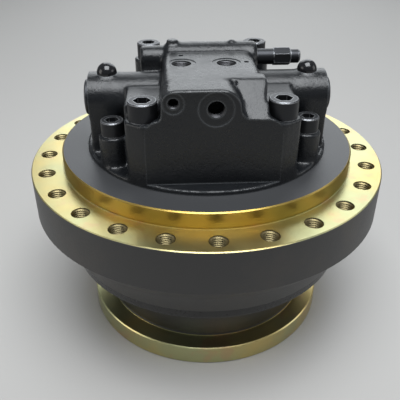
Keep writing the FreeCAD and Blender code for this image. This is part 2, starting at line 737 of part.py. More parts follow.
def stage_set(stage, count, centre, pin, foot, pin_top, gear_low, width):
    """Pins and needle sleeves of one stage, each as a group on its carrier."""
    head = Part.makeCylinder(pin + 5, size.pin_head, Vector(centre, 0, foot))
    shank = Part.makeCylinder(pin, pin_top - foot, Vector(centre, 0, foot))
    keep(computed("planet_%d_pins" % stage, Part.makeCompound(around(head.fuse(shank), count))),
         "planet_%d_pins" % stage)
    sleeve = Part.makeCylinder(pin + size.needle, width - 2, Vector(centre, 0, gear_low + 1))
    hole = Part.makeCylinder(pin + size.fit, width, Vector(centre, 0, gear_low))
    keep(computed("planet_%d_needles" % stage,
                  Part.makeCompound(around(sleeve.cut(hole), count))),
         "planet_%d_needles" % stage)
    top = gear_low + width + size.thrust_gap
    disc = Part.makeCylinder(pin + size.needle + 2, size.washer, Vector(centre, 0, top))
    hole = Part.makeCylinder(pin + size.fit, size.washer + 2, Vector(centre, 0, top - 1))
    keep(computed("planet_%d_washers" % stage,
                  Part.makeCompound(around(disc.cut(hole), count))),
         "planet_%d_washers" % stage)


def first_stage():
    """Sun 1 on the motor shaft's coupling, three planets and their carrier."""
    low = number(PLANET_1_LOW)
    width = size.planet_1_width
    gear = spur_gear(size.sun_1_teeth, 1, low - 1, low + width + 1,
                     sun_phase(size.sun_1_teeth, size.planet_1_teeth))
    plug = Part.makeCylinder(1, width + 2, Vector(0, 0, low - 1))
    shaft_top = size.case_bottom + 28
    shaft = Part.makeCylinder(size.sun_shaft, shaft_top - low - width,
                              Vector(0, 0, low + width))
    keep(computed("sun_gear_1", gear.fuse([plug, shaft]).removeSplitter()), "sun_gear_1")
    planets(1, size.planet_1_teeth, size.sun_1_teeth, size.planets_1, number(CENTRE_1), low,
            width, size.pin_1_radius + size.needle + size.fit)
    stage_set(1, size.planets_1, number(CENTRE_1), size.pin_1_radius, number(PIN_1_FOOT),
              number(PLATE_1_TOP), low, width)
    body = ring("carrier_1_plate", "sun_2_spline", CENTRE_1 + " + pin_1_radius + 10",
                PLATE_1_LOW, PLATE_1_TOP)
    drilled(body, "pin_1_holes", "pin_1_radius", "2 * " + CENTRE_1, PLATE_1_LOW, "plate_1",
            "planets_1")
    keep(body, "carrier_1")


def second_stage():
    """Sun 2 splined to carrier 1, four planets and the carrier on the motor case."""
    low = number(PLANET_2_LOW)
    width = size.planet_2_width
    gear = spur_gear(size.sun_2_teeth, size.sun_2_bore, low - 1, low + width + 1,
                     sun_phase(size.sun_2_teeth, size.planet_2_teeth))
    stub_low = number(PLATE_1_LOW)
    stub = Part.makeCylinder(size.sun_2_spline, low - 1 - stub_low, Vector(0, 0, stub_low))
    hole = Part.makeCylinder(size.sun_2_bore, 60, Vector(0, 0, stub_low - 1))
    keep(computed("sun_gear_2", gear.fuse(stub.cut(hole)).removeSplitter()), "sun_gear_2")
    planets(2, size.planet_2_teeth, size.sun_2_teeth, size.planets_2, number(CENTRE_2), low,
            width, size.pin_2_radius + size.needle + size.fit)
    stage_set(2, size.planets_2, number(CENTRE_2), size.pin_2_radius, number(PIN_2_FOOT),
              size.case_bottom, low, width)
    body = ring("carrier_2_plate", "sun_2_spline + 8", "carrier_2_radius", PLATE_2_LOW,
                "case_bottom")
    drilled(body, "pin_2_holes", "pin_2_radius", "2 * " + CENTRE_2, PLATE_2_LOW, "plate_2",
            "planets_2")
    for name, phase in (("carrier_screws_left", "37"), ("carrier_screws_right", "53")):
        drilled(body, name, "6.5", "case_screw_circle", PLATE_2_LOW, "plate_2", "planets_2",
                phase=phase)
        drilled(body, name + "_recess", "9.5", "case_screw_circle", PLATE_2_LOW, "12.5",
                "planets_2", phase=phase)
    keep(body, "carrier_2")
    screw = socket_screw(12, 20, chamfer=1)
    screws = []
    for phase in (37, 53):
        copy = screw.copy()
        copy.Placement = Placement(
            Vector(size.case_screw_circle / 2, 0, number(PLATE_2_LOW) + 12.5),
            Rotation(Vector(1, 0, 0), 180))
        screws.extend(around(copy, size.planets_2, phase))
    keep(computed("carrier_2_screws", Part.makeCompound(screws)), "carrier_2_screws")


# ---------------------------------------------------------------------------------------------
# End cover
# ---------------------------------------------------------------------------------------------
def end_cover():
    """Cover under the gears with its snap ring, plugs and thrust button."""
    body = turned("cover_plate", [
        ("0", "cover_recess"),
        ("cover_radius - fit", "cover_recess"),
        ("cover_radius - fit", COVER_TOP),
        ("0", COVER_TOP),
    ])
    drilled(body, "plug_holes", "plug_radius", "plug_circle", "cover_recess",
            "cover_thickness", "plugs", phase="90")
    keep(body, "cover_plate")
    keep(ring("cover_snap_ring", "cover_radius - 5", "cover_radius + snap_depth - running",
              "cover_recess - snap_height + fit", "cover_recess - fit"), "cover_snap_ring")
    head = Part.makeCylinder(size.plug_radius + 4, 3.6, Vector(0, 0, -3.6))
    shank = Part.makeCylinder(size.plug_radius - size.shrink, size.cover_thickness - 1)
    plug = head.fuse(shank)
    socket = prism_solid(6, 8)
    socket.translate(Vector(0, 0, -3.7))
    plug = plug.cut(socket)
    plug.Placement = Placement(Vector(size.plug_circle / 2, 0, size.cover_recess), Rotation())
    keep(computed("cover_plugs", Part.makeCompound(around(plug, size.plugs, 90))),
         "cover_plugs")
    keep(turned("thrust_button", [
        ("0", COVER_TOP), ("button_radius", COVER_TOP),
        ("button_radius", PLANET_1_LOW + " - 1 - 2 * thrust_gap"),
        ("0", PLANET_1_LOW + " - 1 - face_gap")]), "thrust_button")


def prism_solid(flat_radius, height):
    """A hexagonal solid about Z by its radius across the flats."""
    corner = flat_radius / math.cos(math.radians(30))
    points = [Vector(corner * math.cos(math.radians(60 * step)),
                     corner * math.sin(math.radians(60 * step)), 0) for step in range(7)]
    return Part.Face(Part.makePolygon(points)).extrude(Vector(0, 0, height))


# ---------------------------------------------------------------------------------------------
# Travel motor: case, shaft, rotating group, brake
# ---------------------------------------------------------------------------------------------
def motor_case():
    """Case with a flange in the drum's recess and a body that reaches into the hub."""
    seal_top = "case_bottom + 14"
    body = turned("case_blank", [
        ("case_cavity", PILOT_TOP),
        ("case_radius - fit", PILOT_TOP),
        ("case_radius - fit", SHELF_TOP),
        ("shelf_bore - fit", SHELF_TOP),
        ("shelf_bore - fit", SHELF_BOTTOM),
        ("case_body", SHELF_BOTTOM + " - 2"),
        ("case_body", "case_bottom"),
        ("shaft_seal", "case_bottom"),
        ("shaft_seal", seal_top),
        ("bearing_outer", seal_top),
        ("bearing_outer", "case_floor"),
        ("case_cavity", "case_floor"),
    ])
    for name in ("large", "small"):
        corner_holes(body, name + "_case_holes", name + "_thread / 2 + 1", name + "_angle",
                     PILOT_TOP, "shelf_depth")
    for name, phase in (("carrier_taps_left", "37"), ("carrier_taps_right", "53")):
        drilled(body, name, "6", "case_screw_circle", "case_bottom", "18", "planets_2",
                phase=phase)
    return keep(fused("motor_case", [body, swash_saddles()]), "motor_case")


def swash_saddles():
    """The two half-round cradles on the case floor that carry the swash plate."""
    span = size.runner_outer - size.runner_inner
    saddles = []
    for low in (size.runner_inner, -size.runner_outer):
        groove = Part.makeCylinder(size.runner_radius + size.running, span + 2,
                                   Vector(low - 1, 0, size.swash_height), Vector(1, 0, 0))
        saddle = Part.makeBox(span, 64, 16, Vector(low, -32, size.case_floor))
        saddles.append(saddle.cut(groove))
    return computed("swash_saddles", Part.makeCompound(saddles))


def motor_shaft():
    """Shaft with a splined socket for the sun at its foot."""
    body = turned("motor_shaft", [
        ("0", "case_bottom + 30"),
        ("sun_shaft + running", "case_bottom + 30"),
        ("sun_shaft + running", "case_bottom + 2"),
        ("shaft_radius", "case_bottom + 2"),
        ("shaft_radius", BLOCK_TOP + " + 1"),
        ("shaft_radius - 3", BLOCK_TOP + " + 2"),
        ("shaft_radius - 3", PLATE_POCKET + " + shaft_bearing"),
        ("0", PLATE_POCKET + " + shaft_bearing"),
    ])
    return keep(body, "motor_shaft")


def shaft_bearings():
    """Taper roller bearings at the foot and head of the motor shaft, and the lip seal."""
    low = size.case_bottom + 14
    head = number(PLATE_POCKET)
    outer_rings = []
    inner_rings = []
    rollers = []
    for level, bore, outer, lean in ((low, size.shaft_radius, size.bearing_outer, 1),
                                     (head, size.shaft_radius - 3, size.bearing_outer - 6, -1)):
        inner_face = bore + (outer - bore) * 0.28
        outer_face = bore + (outer - bore) * 0.75
        skew = 1.5 * lean
        top = level + size.shaft_bearing
        outer_rings.append(section_ring([(outer_face + skew, level), (outer, level),
                                         (outer, top), (outer_face - skew, top)]))
        inner_rings.append(section_ring([(bore, level), (inner_face + skew, level),
                                         (inner_face - skew, top), (bore, top)]))
        radius = (outer_face - inner_face) / 2 * 0.97
        roller = Part.makeCylinder(radius, size.shaft_bearing - 6,
                                   Vector(0, 0, 3 - size.shaft_bearing / 2))
        roller.Placement = Placement(
            Vector((inner_face + outer_face) / 2, 0, (level + top) / 2),
            Rotation(Vector(0, 1, 0), -math.degrees(math.atan(2 * skew / size.shaft_bearing))))
        rollers.extend(around(roller, 14))
    keep(computed("shaft_bearing_outer_rings", Part.makeCompound(outer_rings)),
         "shaft_bearing_outer_rings")
    keep(computed("shaft_bearing_inner_rings", Part.makeCompound(inner_rings)),
         "shaft_bearing_inner_rings")
    keep(computed("shaft_bearing_rollers", Part.makeCompound(rollers)),
         "shaft_bearing_rollers")
    keep(ring("shaft_seal_ring", "shaft_radius + fit", "shaft_seal", "case_bottom + 3",
              "case_bottom + 12"), "shaft_seal_ring")


def cylinder_block():
    """Block with its piston bores, driven by the shaft's spline."""
    body = ring("cylinder_block", "shaft_radius", "block_radius", BLOCK_LOW, BLOCK_TOP)
    drilled(body, "piston_bores", "piston_radius", "piston_circle", BLOCK_LOW,
            "block_height - 8", "pistons")
    drilled(body, "piston_ports", "piston_radius - 4", "piston_circle",
            BLOCK_LOW + " + block_height - 8", "8", "pistons")
    return keep(body, "cylinder_block")


def pistons():
    """Nine pistons at mid stroke, their shoes and the plate that holds the shoes down."""
    circle = size.piston_circle / 2
    shoe_low = size.swash_height + 13
    neck = 6
    crown = number(BLOCK_LOW) + size.block_height * 0.6
    foot = shoe_low + size.shoe_height + neck
    piston = Part.makeCylinder(size.piston_radius - size.running, crown - foot,
                               Vector(circle, 0, foot))
    hollow = Part.makeCylinder(size.piston_radius * 0.5, crown - foot - 6,
                               Vector(circle, 0, foot + 7))
    keep(computed("piston_set", Part.makeCompound(around(piston.cut(hollow), size.pistons))),
         "piston_set")
    shoe = Part.makeCylinder(size.shoe_radius, size.shoe_height, Vector(circle, 0, shoe_low))
    stem = Part.makeCone(size.shoe_radius * 0.7, size.piston_radius * 0.6, neck,
                         Vector(circle, 0, shoe_low + size.shoe_height))
    keep(computed("piston_shoes", Part.makeCompound(around(shoe.fuse(stem), size.pistons))),
         "piston_shoes")
    plate = section_ring([(circle - 15, shoe_low + size.shoe_height + size.running),
                          (circle + 14, shoe_low + size.shoe_height + size.running),
                          (circle + 14, shoe_low + size.shoe_height + 3),
                          (circle - 15, shoe_low + size.shoe_height + 3)])
    hole = Part.makeCylinder(size.shoe_radius * 0.7 + 0.4, 12, Vector(circle, 0, shoe_low))
    plate = plate.cut(Part.makeCompound(around(hole, size.pistons)))
    keep(computed("shoe_retainer", plate), "shoe_retainer")


def swash_plate():
    """Tilting plate on two half-round runners."""
    pivot = Vector(0, 0, size.swash_height)
    disc = Part.makeCylinder(size.swash_radius, size.swash_thickness,
                             Vector(0, 0, -size.swash_thickness))
    disc.rotate(Vector(), Vector(1, 0, 0), size.swash_tilt)
    span = size.runner_outer - size.runner_inner
    slab = Part.makeBox(4 * size.runner_radius, 4 * size.runner_radius, 2 * size.runner_radius,
                        Vector(-2 * size.runner_radius, -2 * size.runner_radius, -1))
    slab.rotate(Vector(), Vector(1, 0, 0), size.swash_tilt)
    runners = []
    for low in (size.runner_inner, -size.runner_outer):
        runner = Part.makeCylinder(size.runner_radius, span, Vector(low, 0, 0), Vector(1, 0, 0))
        runners.append(runner.cut(slab))
    bore = Part.makeCylinder(size.swash_bore, 120, Vector(0, 0, -60))
    plate = disc.fuse(runners).cut(bore)
    plate.translate(pivot)
    keep(computed("swash_plate", plate), "swash_plate")


def parking_brake():
    """Discs on the block, plates in the case, the release piston and its disc spring."""
    discs = []
    plates = []
    step = size.disc_thickness
    for index in range(int(size.friction_discs) + 1):
        low = size.brake_level + 2 * index * step
        plates.append(section_ring([(size.disc_inner, low), (size.case_cavity, low),
                                    (size.case_cavity, low + step),
                                    (size.disc_inner, low + step)]))
        if index < size.friction_discs:
            low += step
            discs.append(section_ring([(size.block_radius, low + size.running),
                                       (size.disc_outer, low + size.running),
                                       (size.disc_outer, low + step - size.running),
                                       (size.block_radius, low + step - size.running)]))
    keep(computed("brake_discs", Part.makeCompound(discs)), "brake_discs")
    keep(computed("brake_plates", Part.makeCompound(plates)), "brake_plates")
    stack_top = size.brake_level + (2 * size.friction_discs + 1) * size.disc_thickness
    low = stack_top + size.face_gap
    top = low + size.brake_piston_height
    piston = section_ring([(size.block_radius + 4, low), (size.disc_outer + 3, low),
                           (size.disc_outer + 3, low + 5), (size.case_cavity - 0.1, low + 5),
                           (size.case_cavity - 0.1, top), (size.block_radius + 4, top)])
    keep(computed("brake_piston", piston), "brake_piston")
    ceiling = number(PILOT_TOP)
    spring = section_ring([(size.block_radius + 6, ceiling - 2.5), (size.block_radius + 8, ceiling),
                           (size.case_cavity - 2, top + 2.7),
                           (size.case_cavity - 4, top + size.face_gap)])
    keep(computed("brake_spring", spring), "brake_spring")


# ---------------------------------------------------------------------------------------------
# Valve cover
# ---------------------------------------------------------------------------------------------
def cover_block():
    """Solids of the valve block: front, facet, upper block, rear and motor dome."""
    foot = PILOT_TOP
    shoulder = foot + " + shoulder_height"
    crown = foot + " + crown_height"
    front = [("-block_half", foot), ("block_half", foot),
             ("shoulder_half", shoulder), ("facet_left + 5", shoulder + " + 2"),
             ("facet_left + 2", crown), ("-crown_left", crown), ("-crown_left - 2", shoulder),
             ("-shoulder_half", shoulder)]
    facet = [("-facet_front", crown + " - facet_drop - 20"),
             ("-facet_front", crown + " - facet_drop"), ("-facet_back", crown),
             ("20 - facet_back", crown), ("20 - facet_back", crown + " - facet_drop - 20")]
    upper = [("-crown_left", foot), ("crown_right", foot), ("crown_right", crown),
             ("-crown_left", crown)]
    rear = [("-block_half", foot), ("block_half", foot),
            ("shoulder_half", foot + " + rear_height"), ("-shoulder_half", foot + " + rear_height")]
    return [
        padded("front_block", "XZ_Plane", front, "block_front - 50", "50",
               [((2, 7), "12"), ((5,), "18"), ((4,), "25"), ((3,), "10")]),
        padded("facet_wedge", "YZ_Plane", facet, "facet_left", "facet_right - facet_left"),
        padded("upper_block", "XZ_Plane", upper, "-crown_back", "crown_back + facet_back",
               [((3,), "14"), ((2,), "16")]),
        padded("rear_block", "XZ_Plane", rear, "-rear_depth", "rear_depth - rear_start",
               [((2, 3), "14")]),
        cylinder("motor_dome", "case_cavity + 10", "76", z=foot),
    ]


def spool_housing():
    """Solids of the long bar that holds the spool, with its pads and its foot."""
    level = PILOT_TOP + " + spool_height"
    end = "bar_left + bar_right"
    bar = turned("spool_bar", [
        ("0", "0"), ("spool_housing - 3", "0"), ("spool_housing", "3"),
        ("spool_housing", end + " - bar_rounding"),
        ("spool_housing - 2", end + " - bar_rounding * 0.3"),
        ("spool_housing - bar_rounding", end), ("0", end),
    ])
    place(bar, "-bar_left", "spool_y", level, Rotation(Vector(1, 0, 0), 140).multiply(SIDEWAYS))
    return [
        bar,
        cylinder("spool_neck", "neck_housing", "neck_left - bar_left + 8", x="-neck_left",
                 y="spool_y", z=level, turn=SIDEWAYS),
        box("neck_foot", "-neck_left", "spool_y - neck_housing + 1", PILOT_TOP,
            "neck_left - bar_left + 8", "2 * neck_housing - 2", "spool_height"),
        cylinder("wide_bar_pad", "wide_pad", "spool_housing + pad_height", x="wide_pad_x",
                 y="spool_y", z=level, turn=Rotation(Vector(0, 0, 1), 45)),
        cylinder("small_bar_pad", "small_pad", "spool_housing + pad_height - 1",
                 x="small_pad_x", y="spool_y", z=level, turn=Rotation(Vector(0, 0, 1), 45)),
        box("bar_foot", "-bar_left", "-6", PILOT_TOP + " + 60", "bar_left + crown_right",
            "spool_y + spool_housing - 4", "spool_height - 60"),
    ]


def relief_arms():
    """Solids of the side arms: arm, web and screw ledge, then a collar with a flat end."""
    foot = PILOT_TOP
    body = [cylinder("relief_arms", "arm_radius", "2 * collar_inner", x="-collar_inner",
                     y="arm_y", z=foot + " + arm_height", turn=SIDEWAYS),
            box("arm_web", "-collar_inner", "arm_y - arm_web", foot, "2 * collar_inner",
                "2 * arm_web", "arm_height"),
            box("screw_ledge", "-ledge_half", "-ledge_front", foot, "2 * ledge_half",
                "ledge_front - 40", "ledge_height")]
    for side, start in (("left", "-arm_reach"), ("right", "collar_inner - 2")):
        body.append(cylinder("arm_collar_" + side, "arm_collar", "arm_reach - collar_inner + 2",
                             x=start, y="arm_y", z=foot + " + arm_height", turn=SIDEWAYS))
        body.append(box("arm_foot_" + side, start, "arm_y - arm_collar", foot,
                        "arm_reach - collar_inner + 2", "2 * arm_collar", "arm_height"))
    return body


def cover_openings():
    """Ports, bores, spot faces and small drillings of the valve cover."""
    foot = PILOT_TOP
    crown = foot + " + crown_height"
    level = foot + " + spool_height"
    tools = [cylinder("plate_pocket", "block_radius + 1", "face_gap + valve_plate + 1", z=foot),
             cylinder("bearing_pocket", "bearing_outer - 6", "shaft_bearing + 2",
                      z=PLATE_POCKET),
             cylinder("spool_bore", "spool_radius", "2 * spool_reach + 2",
                      x="spool_x - spool_reach", y="spool_y", z=level, turn=SIDEWAYS),
             cylinder("pilot_hole_right", "pilot_hole", "pilot_hole_depth", x="49",
                      y="port_y", z=crown + " - pilot_hole_depth"),
             cylinder("pilot_hole_left", "pilot_hole", "pilot_hole_depth", x="port_a_x",
                      y="-14", z=crown + " - pilot_hole_depth")]
    for name in ("port_a", "port_b"):
        tools.append(cylinder(name, "port_radius", "port_depth", x=name + "_x", y="port_y",
                              z=crown + " - port_depth"))
        tools.append(cylinder(name + "_face", "port_face", "face_depth + 1", x=name + "_x",
                              y="port_y", z=crown + " - face_depth"))
    for name, depth in (("gauge", 26), ("drain", 30)):
        tools.append(cylinder(name + "_port", name + "_radius", depth, x=name + "_x",
                              y="%d - block_front" % depth,
                              z="%s + %s_height" % (foot, name), turn=FORWARD))
        tools.append(cylinder(name + "_spot", name + "_face", "face_depth + 1", x=name + "_x",
                              y="face_depth - block_front",
                              z="%s + %s_height" % (foot, name), turn=FORWARD))
    for name in ("left", "right"):
        tools.append(cylinder("bar_pin_hole_" + name, "pin_hole", "16", x="pin_hole_" + name,
                              y="spool_y - 0.5 * spool_housing - 8",
                              z=level + " + 0.866 * spool_housing - 4",
                              turn=Rotation(Vector(1, 0, 0), 35)))
    for side, start, end in (("left", "-arm_reach - 2", "-"), ("right", "arm_reach - 52", "")):
        tools.append(cylinder("relief_bore_" + side, "relief_bore", "54", x=start, y="arm_y",
                              z=foot + " + arm_height", turn=SIDEWAYS))
        tools.append(cylinder("dome_seat_" + side, "dome_radius + fit", "dome_depth + 4",
                              x=end + "dome_x", y="arm_y",
                              z=foot + " + arm_height + arm_collar - dome_depth"))
    return tools


def valve_cover():
    """Casting that closes the motor: valve block, spool housing, relief arms and bosses."""
    foot = PILOT_TOP
    body = [cylinder("cover_disc", "disc_radius", "disc_height", z=foot)]
    body += cover_block() + spool_housing() + relief_arms()
    tools = cover_openings()
    for name in ("large", "small"):
        for index, (side, end) in enumerate(CORNERS):
            spot = {"x": "%d * cover_circle / 2 * cos(%s_angle * 1deg)" % (side, name),
                    "y": "%d * cover_circle / 2 * sin(%s_angle * 1deg)" % (end, name)}
            body.append(cylinder("%s_boss_%d" % (name, index), name + "_boss", name + "_seat",
                                 z=foot, **spot))
            tools.append(cylinder("%s_hole_%d" % (name, index), name + "_thread / 2 + 1",
                                  name + "_seat + 2", z=foot + " - 1", **spot))
            tools.append(cylinder("%s_space_%d" % (name, index), name + "_thread * 0.75 + 3",
                                  "90", z="%s + %s_seat" % (foot, name), **spot))
    whole = fused("cover_casting", body)
    envelope = cylinder("cover_envelope", "disc_radius", "300", z=foot)
    trimmed = DOC.addObject("Part::MultiCommon", "cover_trimmed")
    trimmed.Shapes = [whole, envelope]
    return keep(cut("valve_cover", trimmed, tools), "valve_cover")


def relief_valves():
    """Relief cartridges in the arms: sleeve, moving poppet, end cap and dome plug."""
    height = number(PILOT_TOP) + size.arm_height
    cartridges = []
    domes = []
    for name, side in (("left", -1), ("right", 1)):
        mouth = size.arm_reach

        def across(radius, start, length, shape=Part.makeCylinder):
            """A round bar on the arm's axis, measured outwards from the middle."""
            return shape(radius, length, Vector(side * start, size.arm_y, height),
                         Vector(side, 0, 0))

        sleeve = across(size.relief_bore - size.fit, mouth - 49, 44)
        sleeve = sleeve.cut(across(size.poppet_radius + size.fit, mouth - 50, 40))
        cap = across(size.end_cap, mouth, size.end_cap_height)
        rim = cap.Edges
        cap = cap.makeFillet(2.5, [edge for edge in rim if edge.CenterOfMass.x * side
                                   > mouth + size.end_cap_height - 0.1])
        stem = across(size.relief_bore - size.fit, mouth - 6, 6)
        cartridges.append(cap.fuse([stem, sleeve]))
        poppet = across(size.poppet_radius, mouth - 46, 26)
        tip = Part.makeCone(size.poppet_radius, 2, 3, Vector(side * (mouth - 46),
                                                             size.arm_y, height),
                            Vector(-side, 0, 0))
        keep(computed("relief_poppet_" + name, poppet.fuse(tip)), "relief_poppet_" + name)
        crest = height + size.arm_collar
        dome = Part.makeSphere(size.dome_radius, Vector(side * size.dome_x, size.arm_y,
                                                        crest), Vector(0, 0, 1), 0, 90, 360)
        skirt = Part.makeCylinder(size.dome_radius, size.dome_depth, Vector(
            side * size.dome_x, size.arm_y, crest - size.dome_depth))
        domes.append(dome.fuse(skirt))
    keep(computed("relief_cartridges", Part.makeCompound(cartridges)), "relief_cartridges")
    keep(computed("dome_plugs", Part.makeCompound(domes)), "dome_plugs")


def counterbalance_valve():
    """Spool with a centring spring at each end, shut in by one long hexagon plug."""
    height = number(PILOT_TOP) + size.spool_height
    reach = size.spool_half
    land = size.spool_radius - 0.1
    section = [(0, -reach), (5, -reach), (5, -reach + 3), (land, -reach + 3),
               (land, -22), (5.5, -20), (5.5, -12), (land, -10), (land, 10), (5.5, 12),
               (5.5, 20), (land, 22), (land, reach - 3), (5, reach - 3), (5, reach), (0, reach)]
    spool = section_ring(section)
    spool.rotate(Vector(), Vector(0, 1, 0), 90)
    spool.translate(Vector(size.spool_x, size.spool_y, height))
    keep(computed("counterbalance_spool", spool), "counterbalance_spool")
    coils = []
    for side, stop in ((-1, size.spool_reach), (1, size.spool_reach - size.plug_depth)):
        start = reach + size.face_gap - 3
        coil = section_ring([(5.8, start), (7.8, start), (7.8, stop - 0.2),
                             (5.8, stop - 0.2)])
        coil.rotate(Vector(), Vector(0, 1, 0), 90 * side)
        coil.translate(Vector(size.spool_x, size.spool_y, height))
        coils.append(coil)
    keep(computed("spool_springs", Part.makeCompound(coils)), "spool_springs")
    keep(hexagon_plug(height), "spool_plug")


def hexagon_plug(height):
    """The plug of the spool bore: shank inside, then a round neck, a hexagon and a tip."""
    outer = size.spool_reach
    neck = outer + size.plug_neck
    top = neck + size.plug_hexagon
    flat = size.plug_flat
    solid = Part.makeCylinder(size.spool_radius - size.fit, size.plug_depth,
                              Vector(0, 0, outer - size.plug_depth))
    solid = solid.fuse(Part.makeCylinder(flat, size.plug_neck, Vector(0, 0, outer)))
    hexagon = prism_solid(flat, size.plug_hexagon)
    hexagon.translate(Vector(0, 0, neck))
    corner = flat / math.cos(math.pi / 6)
    bevel = section_ring([(0, neck), (corner, neck), (corner, top - 1.5), (flat - 0.5, top),
                          (0, top)])
    tip = section_ring([(0, top), (flat - 1.5, top), (flat - 1.5, top + size.plug_tip - 2),
                        (flat - 3.5, top + size.plug_tip), (0, top + size.plug_tip)])
    solid = solid.fuse([hexagon.common(bevel), tip])
    solid.rotate(Vector(), Vector(0, 1, 0), 90)
    solid.translate(Vector(size.spool_x, size.spool_y, height))
    return computed("spool_plug", solid)


def valve_plate():
    """Port plate between the cylinder block and the cover, with its two kidney slots."""
    low = number(BLOCK_TOP) + size.face_gap
    high = number(PLATE_POCKET)
    outer = size.block_radius - 4
    plate = section_ring([(size.shaft_radius + 4, low), (outer, low), (outer, high),
                          (size.shaft_radius + 4, high)])
    circle = size.piston_circle / 2
    floor = low - size.face_gap
    roof = high + size.face_gap
    slot = section_ring([(circle - 5, floor), (circle + 5, floor), (circle + 5, roof),
                         (circle - 5, roof)])
    web = 6
    for side in (-1, 1):
        corner = Vector(web if side > 0 else -web - outer, -outer, floor)
        half = Part.makeBox(outer, 2 * outer, roof - floor, corner)
        plate = plate.cut(slot.common(half))
    keep(computed("valve_plate", plate), "valve_plate")


def cover_screws():
    """Long socket-head screws through cover and case into the drum."""
    for name in ("large", "small"):
        thread = getattr(size, name + "_thread")
        seat = number(PILOT_TOP) + getattr(size, name + "_seat")
        length = seat - number(SHELF_TOP) + getattr(size, name + "_grip")
        screw = socket_screw(thread, length)
        copies = []
        for x, y in corner_spots(getattr(size, name + "_angle")):
            copy = screw.copy()
            copy.Placement = Placement(Vector(x, y, seat), Rotation())
            copies.append(copy)
        keep(computed(name + "_cover_screws", Part.makeCompound(copies)),
             name + "_cover_screws")


# ---------------------------------------------------------------------------------------------
# Build, check and write
# ---------------------------------------------------------------------------------------------
def check_document():
    """Stop when any object failed or any sub-part has no sound shape."""
    for item in DOC.Objects:
        for word in ("Invalid", "Error"):
            if word in item.State:
                raise RuntimeError("%s is %s" % (item.Name, item.State))
    for item in KEPT:
        if item.Shape.isNull() or not item.Shape.isValid():
            raise RuntimeError("%s has no valid shape" % item.Label)


def main():
    """Build every sub-part and write one STEP file for each."""
    frame_housing()
    seal_carrier()
    seal_carrier_screws()
    output_hub()
    main_bearings()
    bearing_nut()
    face_seal()
    ring_gear()
    first_stage()
    second_stage()
    end_cover()
    motor_case()
    motor_shaft()
    shaft_bearings()
    cylinder_block()
    pistons()
    swash_plate()
    parking_brake()
    valve_cover()
    valve_plate()
    relief_valves()
    counterbalance_valve()
    cover_screws()
    DOC.recompute()
    check_document()
    os.makedirs("parts", exist_ok=True)
    for item in KEPT:
        item.Shape.exportStep("parts/%s.step" % item.Label)


main()
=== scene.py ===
"""Dresses a packed excavator final drive: cast valve cover, plated flanges, threads, stage."""

import json
import math

import bmesh
import bpy
from bpy.props import FloatProperty, FloatVectorProperty, IntProperty, PointerProperty
from mathutils import Matrix, Vector


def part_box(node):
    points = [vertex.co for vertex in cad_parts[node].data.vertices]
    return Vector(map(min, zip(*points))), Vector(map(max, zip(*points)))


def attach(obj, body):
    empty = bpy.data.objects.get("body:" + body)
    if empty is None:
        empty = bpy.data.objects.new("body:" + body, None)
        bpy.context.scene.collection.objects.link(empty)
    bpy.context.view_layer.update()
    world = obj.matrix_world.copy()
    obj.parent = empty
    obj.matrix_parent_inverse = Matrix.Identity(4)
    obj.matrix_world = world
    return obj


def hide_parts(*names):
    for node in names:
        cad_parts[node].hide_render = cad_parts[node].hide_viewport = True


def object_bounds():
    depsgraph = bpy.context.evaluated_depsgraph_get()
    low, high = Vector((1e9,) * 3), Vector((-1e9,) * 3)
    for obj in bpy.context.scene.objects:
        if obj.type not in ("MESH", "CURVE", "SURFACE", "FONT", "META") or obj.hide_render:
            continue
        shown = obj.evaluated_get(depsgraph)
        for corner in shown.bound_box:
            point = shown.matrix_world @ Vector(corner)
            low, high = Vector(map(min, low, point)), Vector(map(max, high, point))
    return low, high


bl_info = {
    "name": "Final Drive",
    "version": (1, 0, 0),
    "blender": (4, 5, 0),
    "location": "3D View > Sidebar > Final Drive",
    "description": "Finishes, cast surfaces and threads for an excavator final drive",
    "category": "Object",
}

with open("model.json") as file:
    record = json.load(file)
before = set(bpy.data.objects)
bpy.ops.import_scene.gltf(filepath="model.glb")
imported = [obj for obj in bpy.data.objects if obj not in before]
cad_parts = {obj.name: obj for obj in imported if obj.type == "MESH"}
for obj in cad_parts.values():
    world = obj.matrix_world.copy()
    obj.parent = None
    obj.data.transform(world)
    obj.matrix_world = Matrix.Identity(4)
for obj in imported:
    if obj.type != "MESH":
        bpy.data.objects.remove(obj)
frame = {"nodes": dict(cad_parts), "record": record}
CAD_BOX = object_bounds()
MOUNTS = {mount["name"]: mount for mount in frame["record"]["mounts"]}
FACE = MOUNTS["frame_bolts"]["pos_m"][2]
PILOT = MOUNTS["frame_pilot"]["dims"]["r_mm"] / 1000
CASE_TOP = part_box("valve_cover")[0].z
CROWN = CASE_TOP + 0.127
ARM_Y = sum(corner.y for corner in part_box("relief_cartridges")) / 2
ARM_Z = sum(corner.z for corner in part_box("relief_cartridges")) / 2
SPOOL_X = sum(corner.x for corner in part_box("counterbalance_spool")) / 2
SPOOL_Y = sum(corner.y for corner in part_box("counterbalance_spool")) / 2
SPOOL_Z = sum(corner.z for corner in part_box("counterbalance_spool")) / 2
ARM_REACH = 0.161
ARM_BORE = 0.015
ARM_BORE_DEPTH = 0.052
DOME_SEAT = 0.01355
DOME_X = 0.136
CUT_DEPTH = 0.012
# hole radius, spot face radius and height of the seat above the case, per kind of screw
SCREW_SEATS = {"large": (0.013, 0.021, 0.084), "small": (0.011, 0.018, 0.047)}
SCREW_HEADS = {"large": 0.018, "small": 0.015}
PILOT_HOLES = ((0.049, -0.046), (-0.036, -0.014))
PILOT_HOLE = 0.0035
SPOOL_BORE = 0.009
SPOOL_REACH = 0.077
BAR_END = 0.072
SHAFT_POCKET = 0.067
# radius of each port's spot face
PORTS = {"port_a": 0.019, "port_b": 0.019, "gauge_port": 0.0126, "drain_port": 0.021}
FACE_DEPTH = 0.0012
FRONT = -0.152


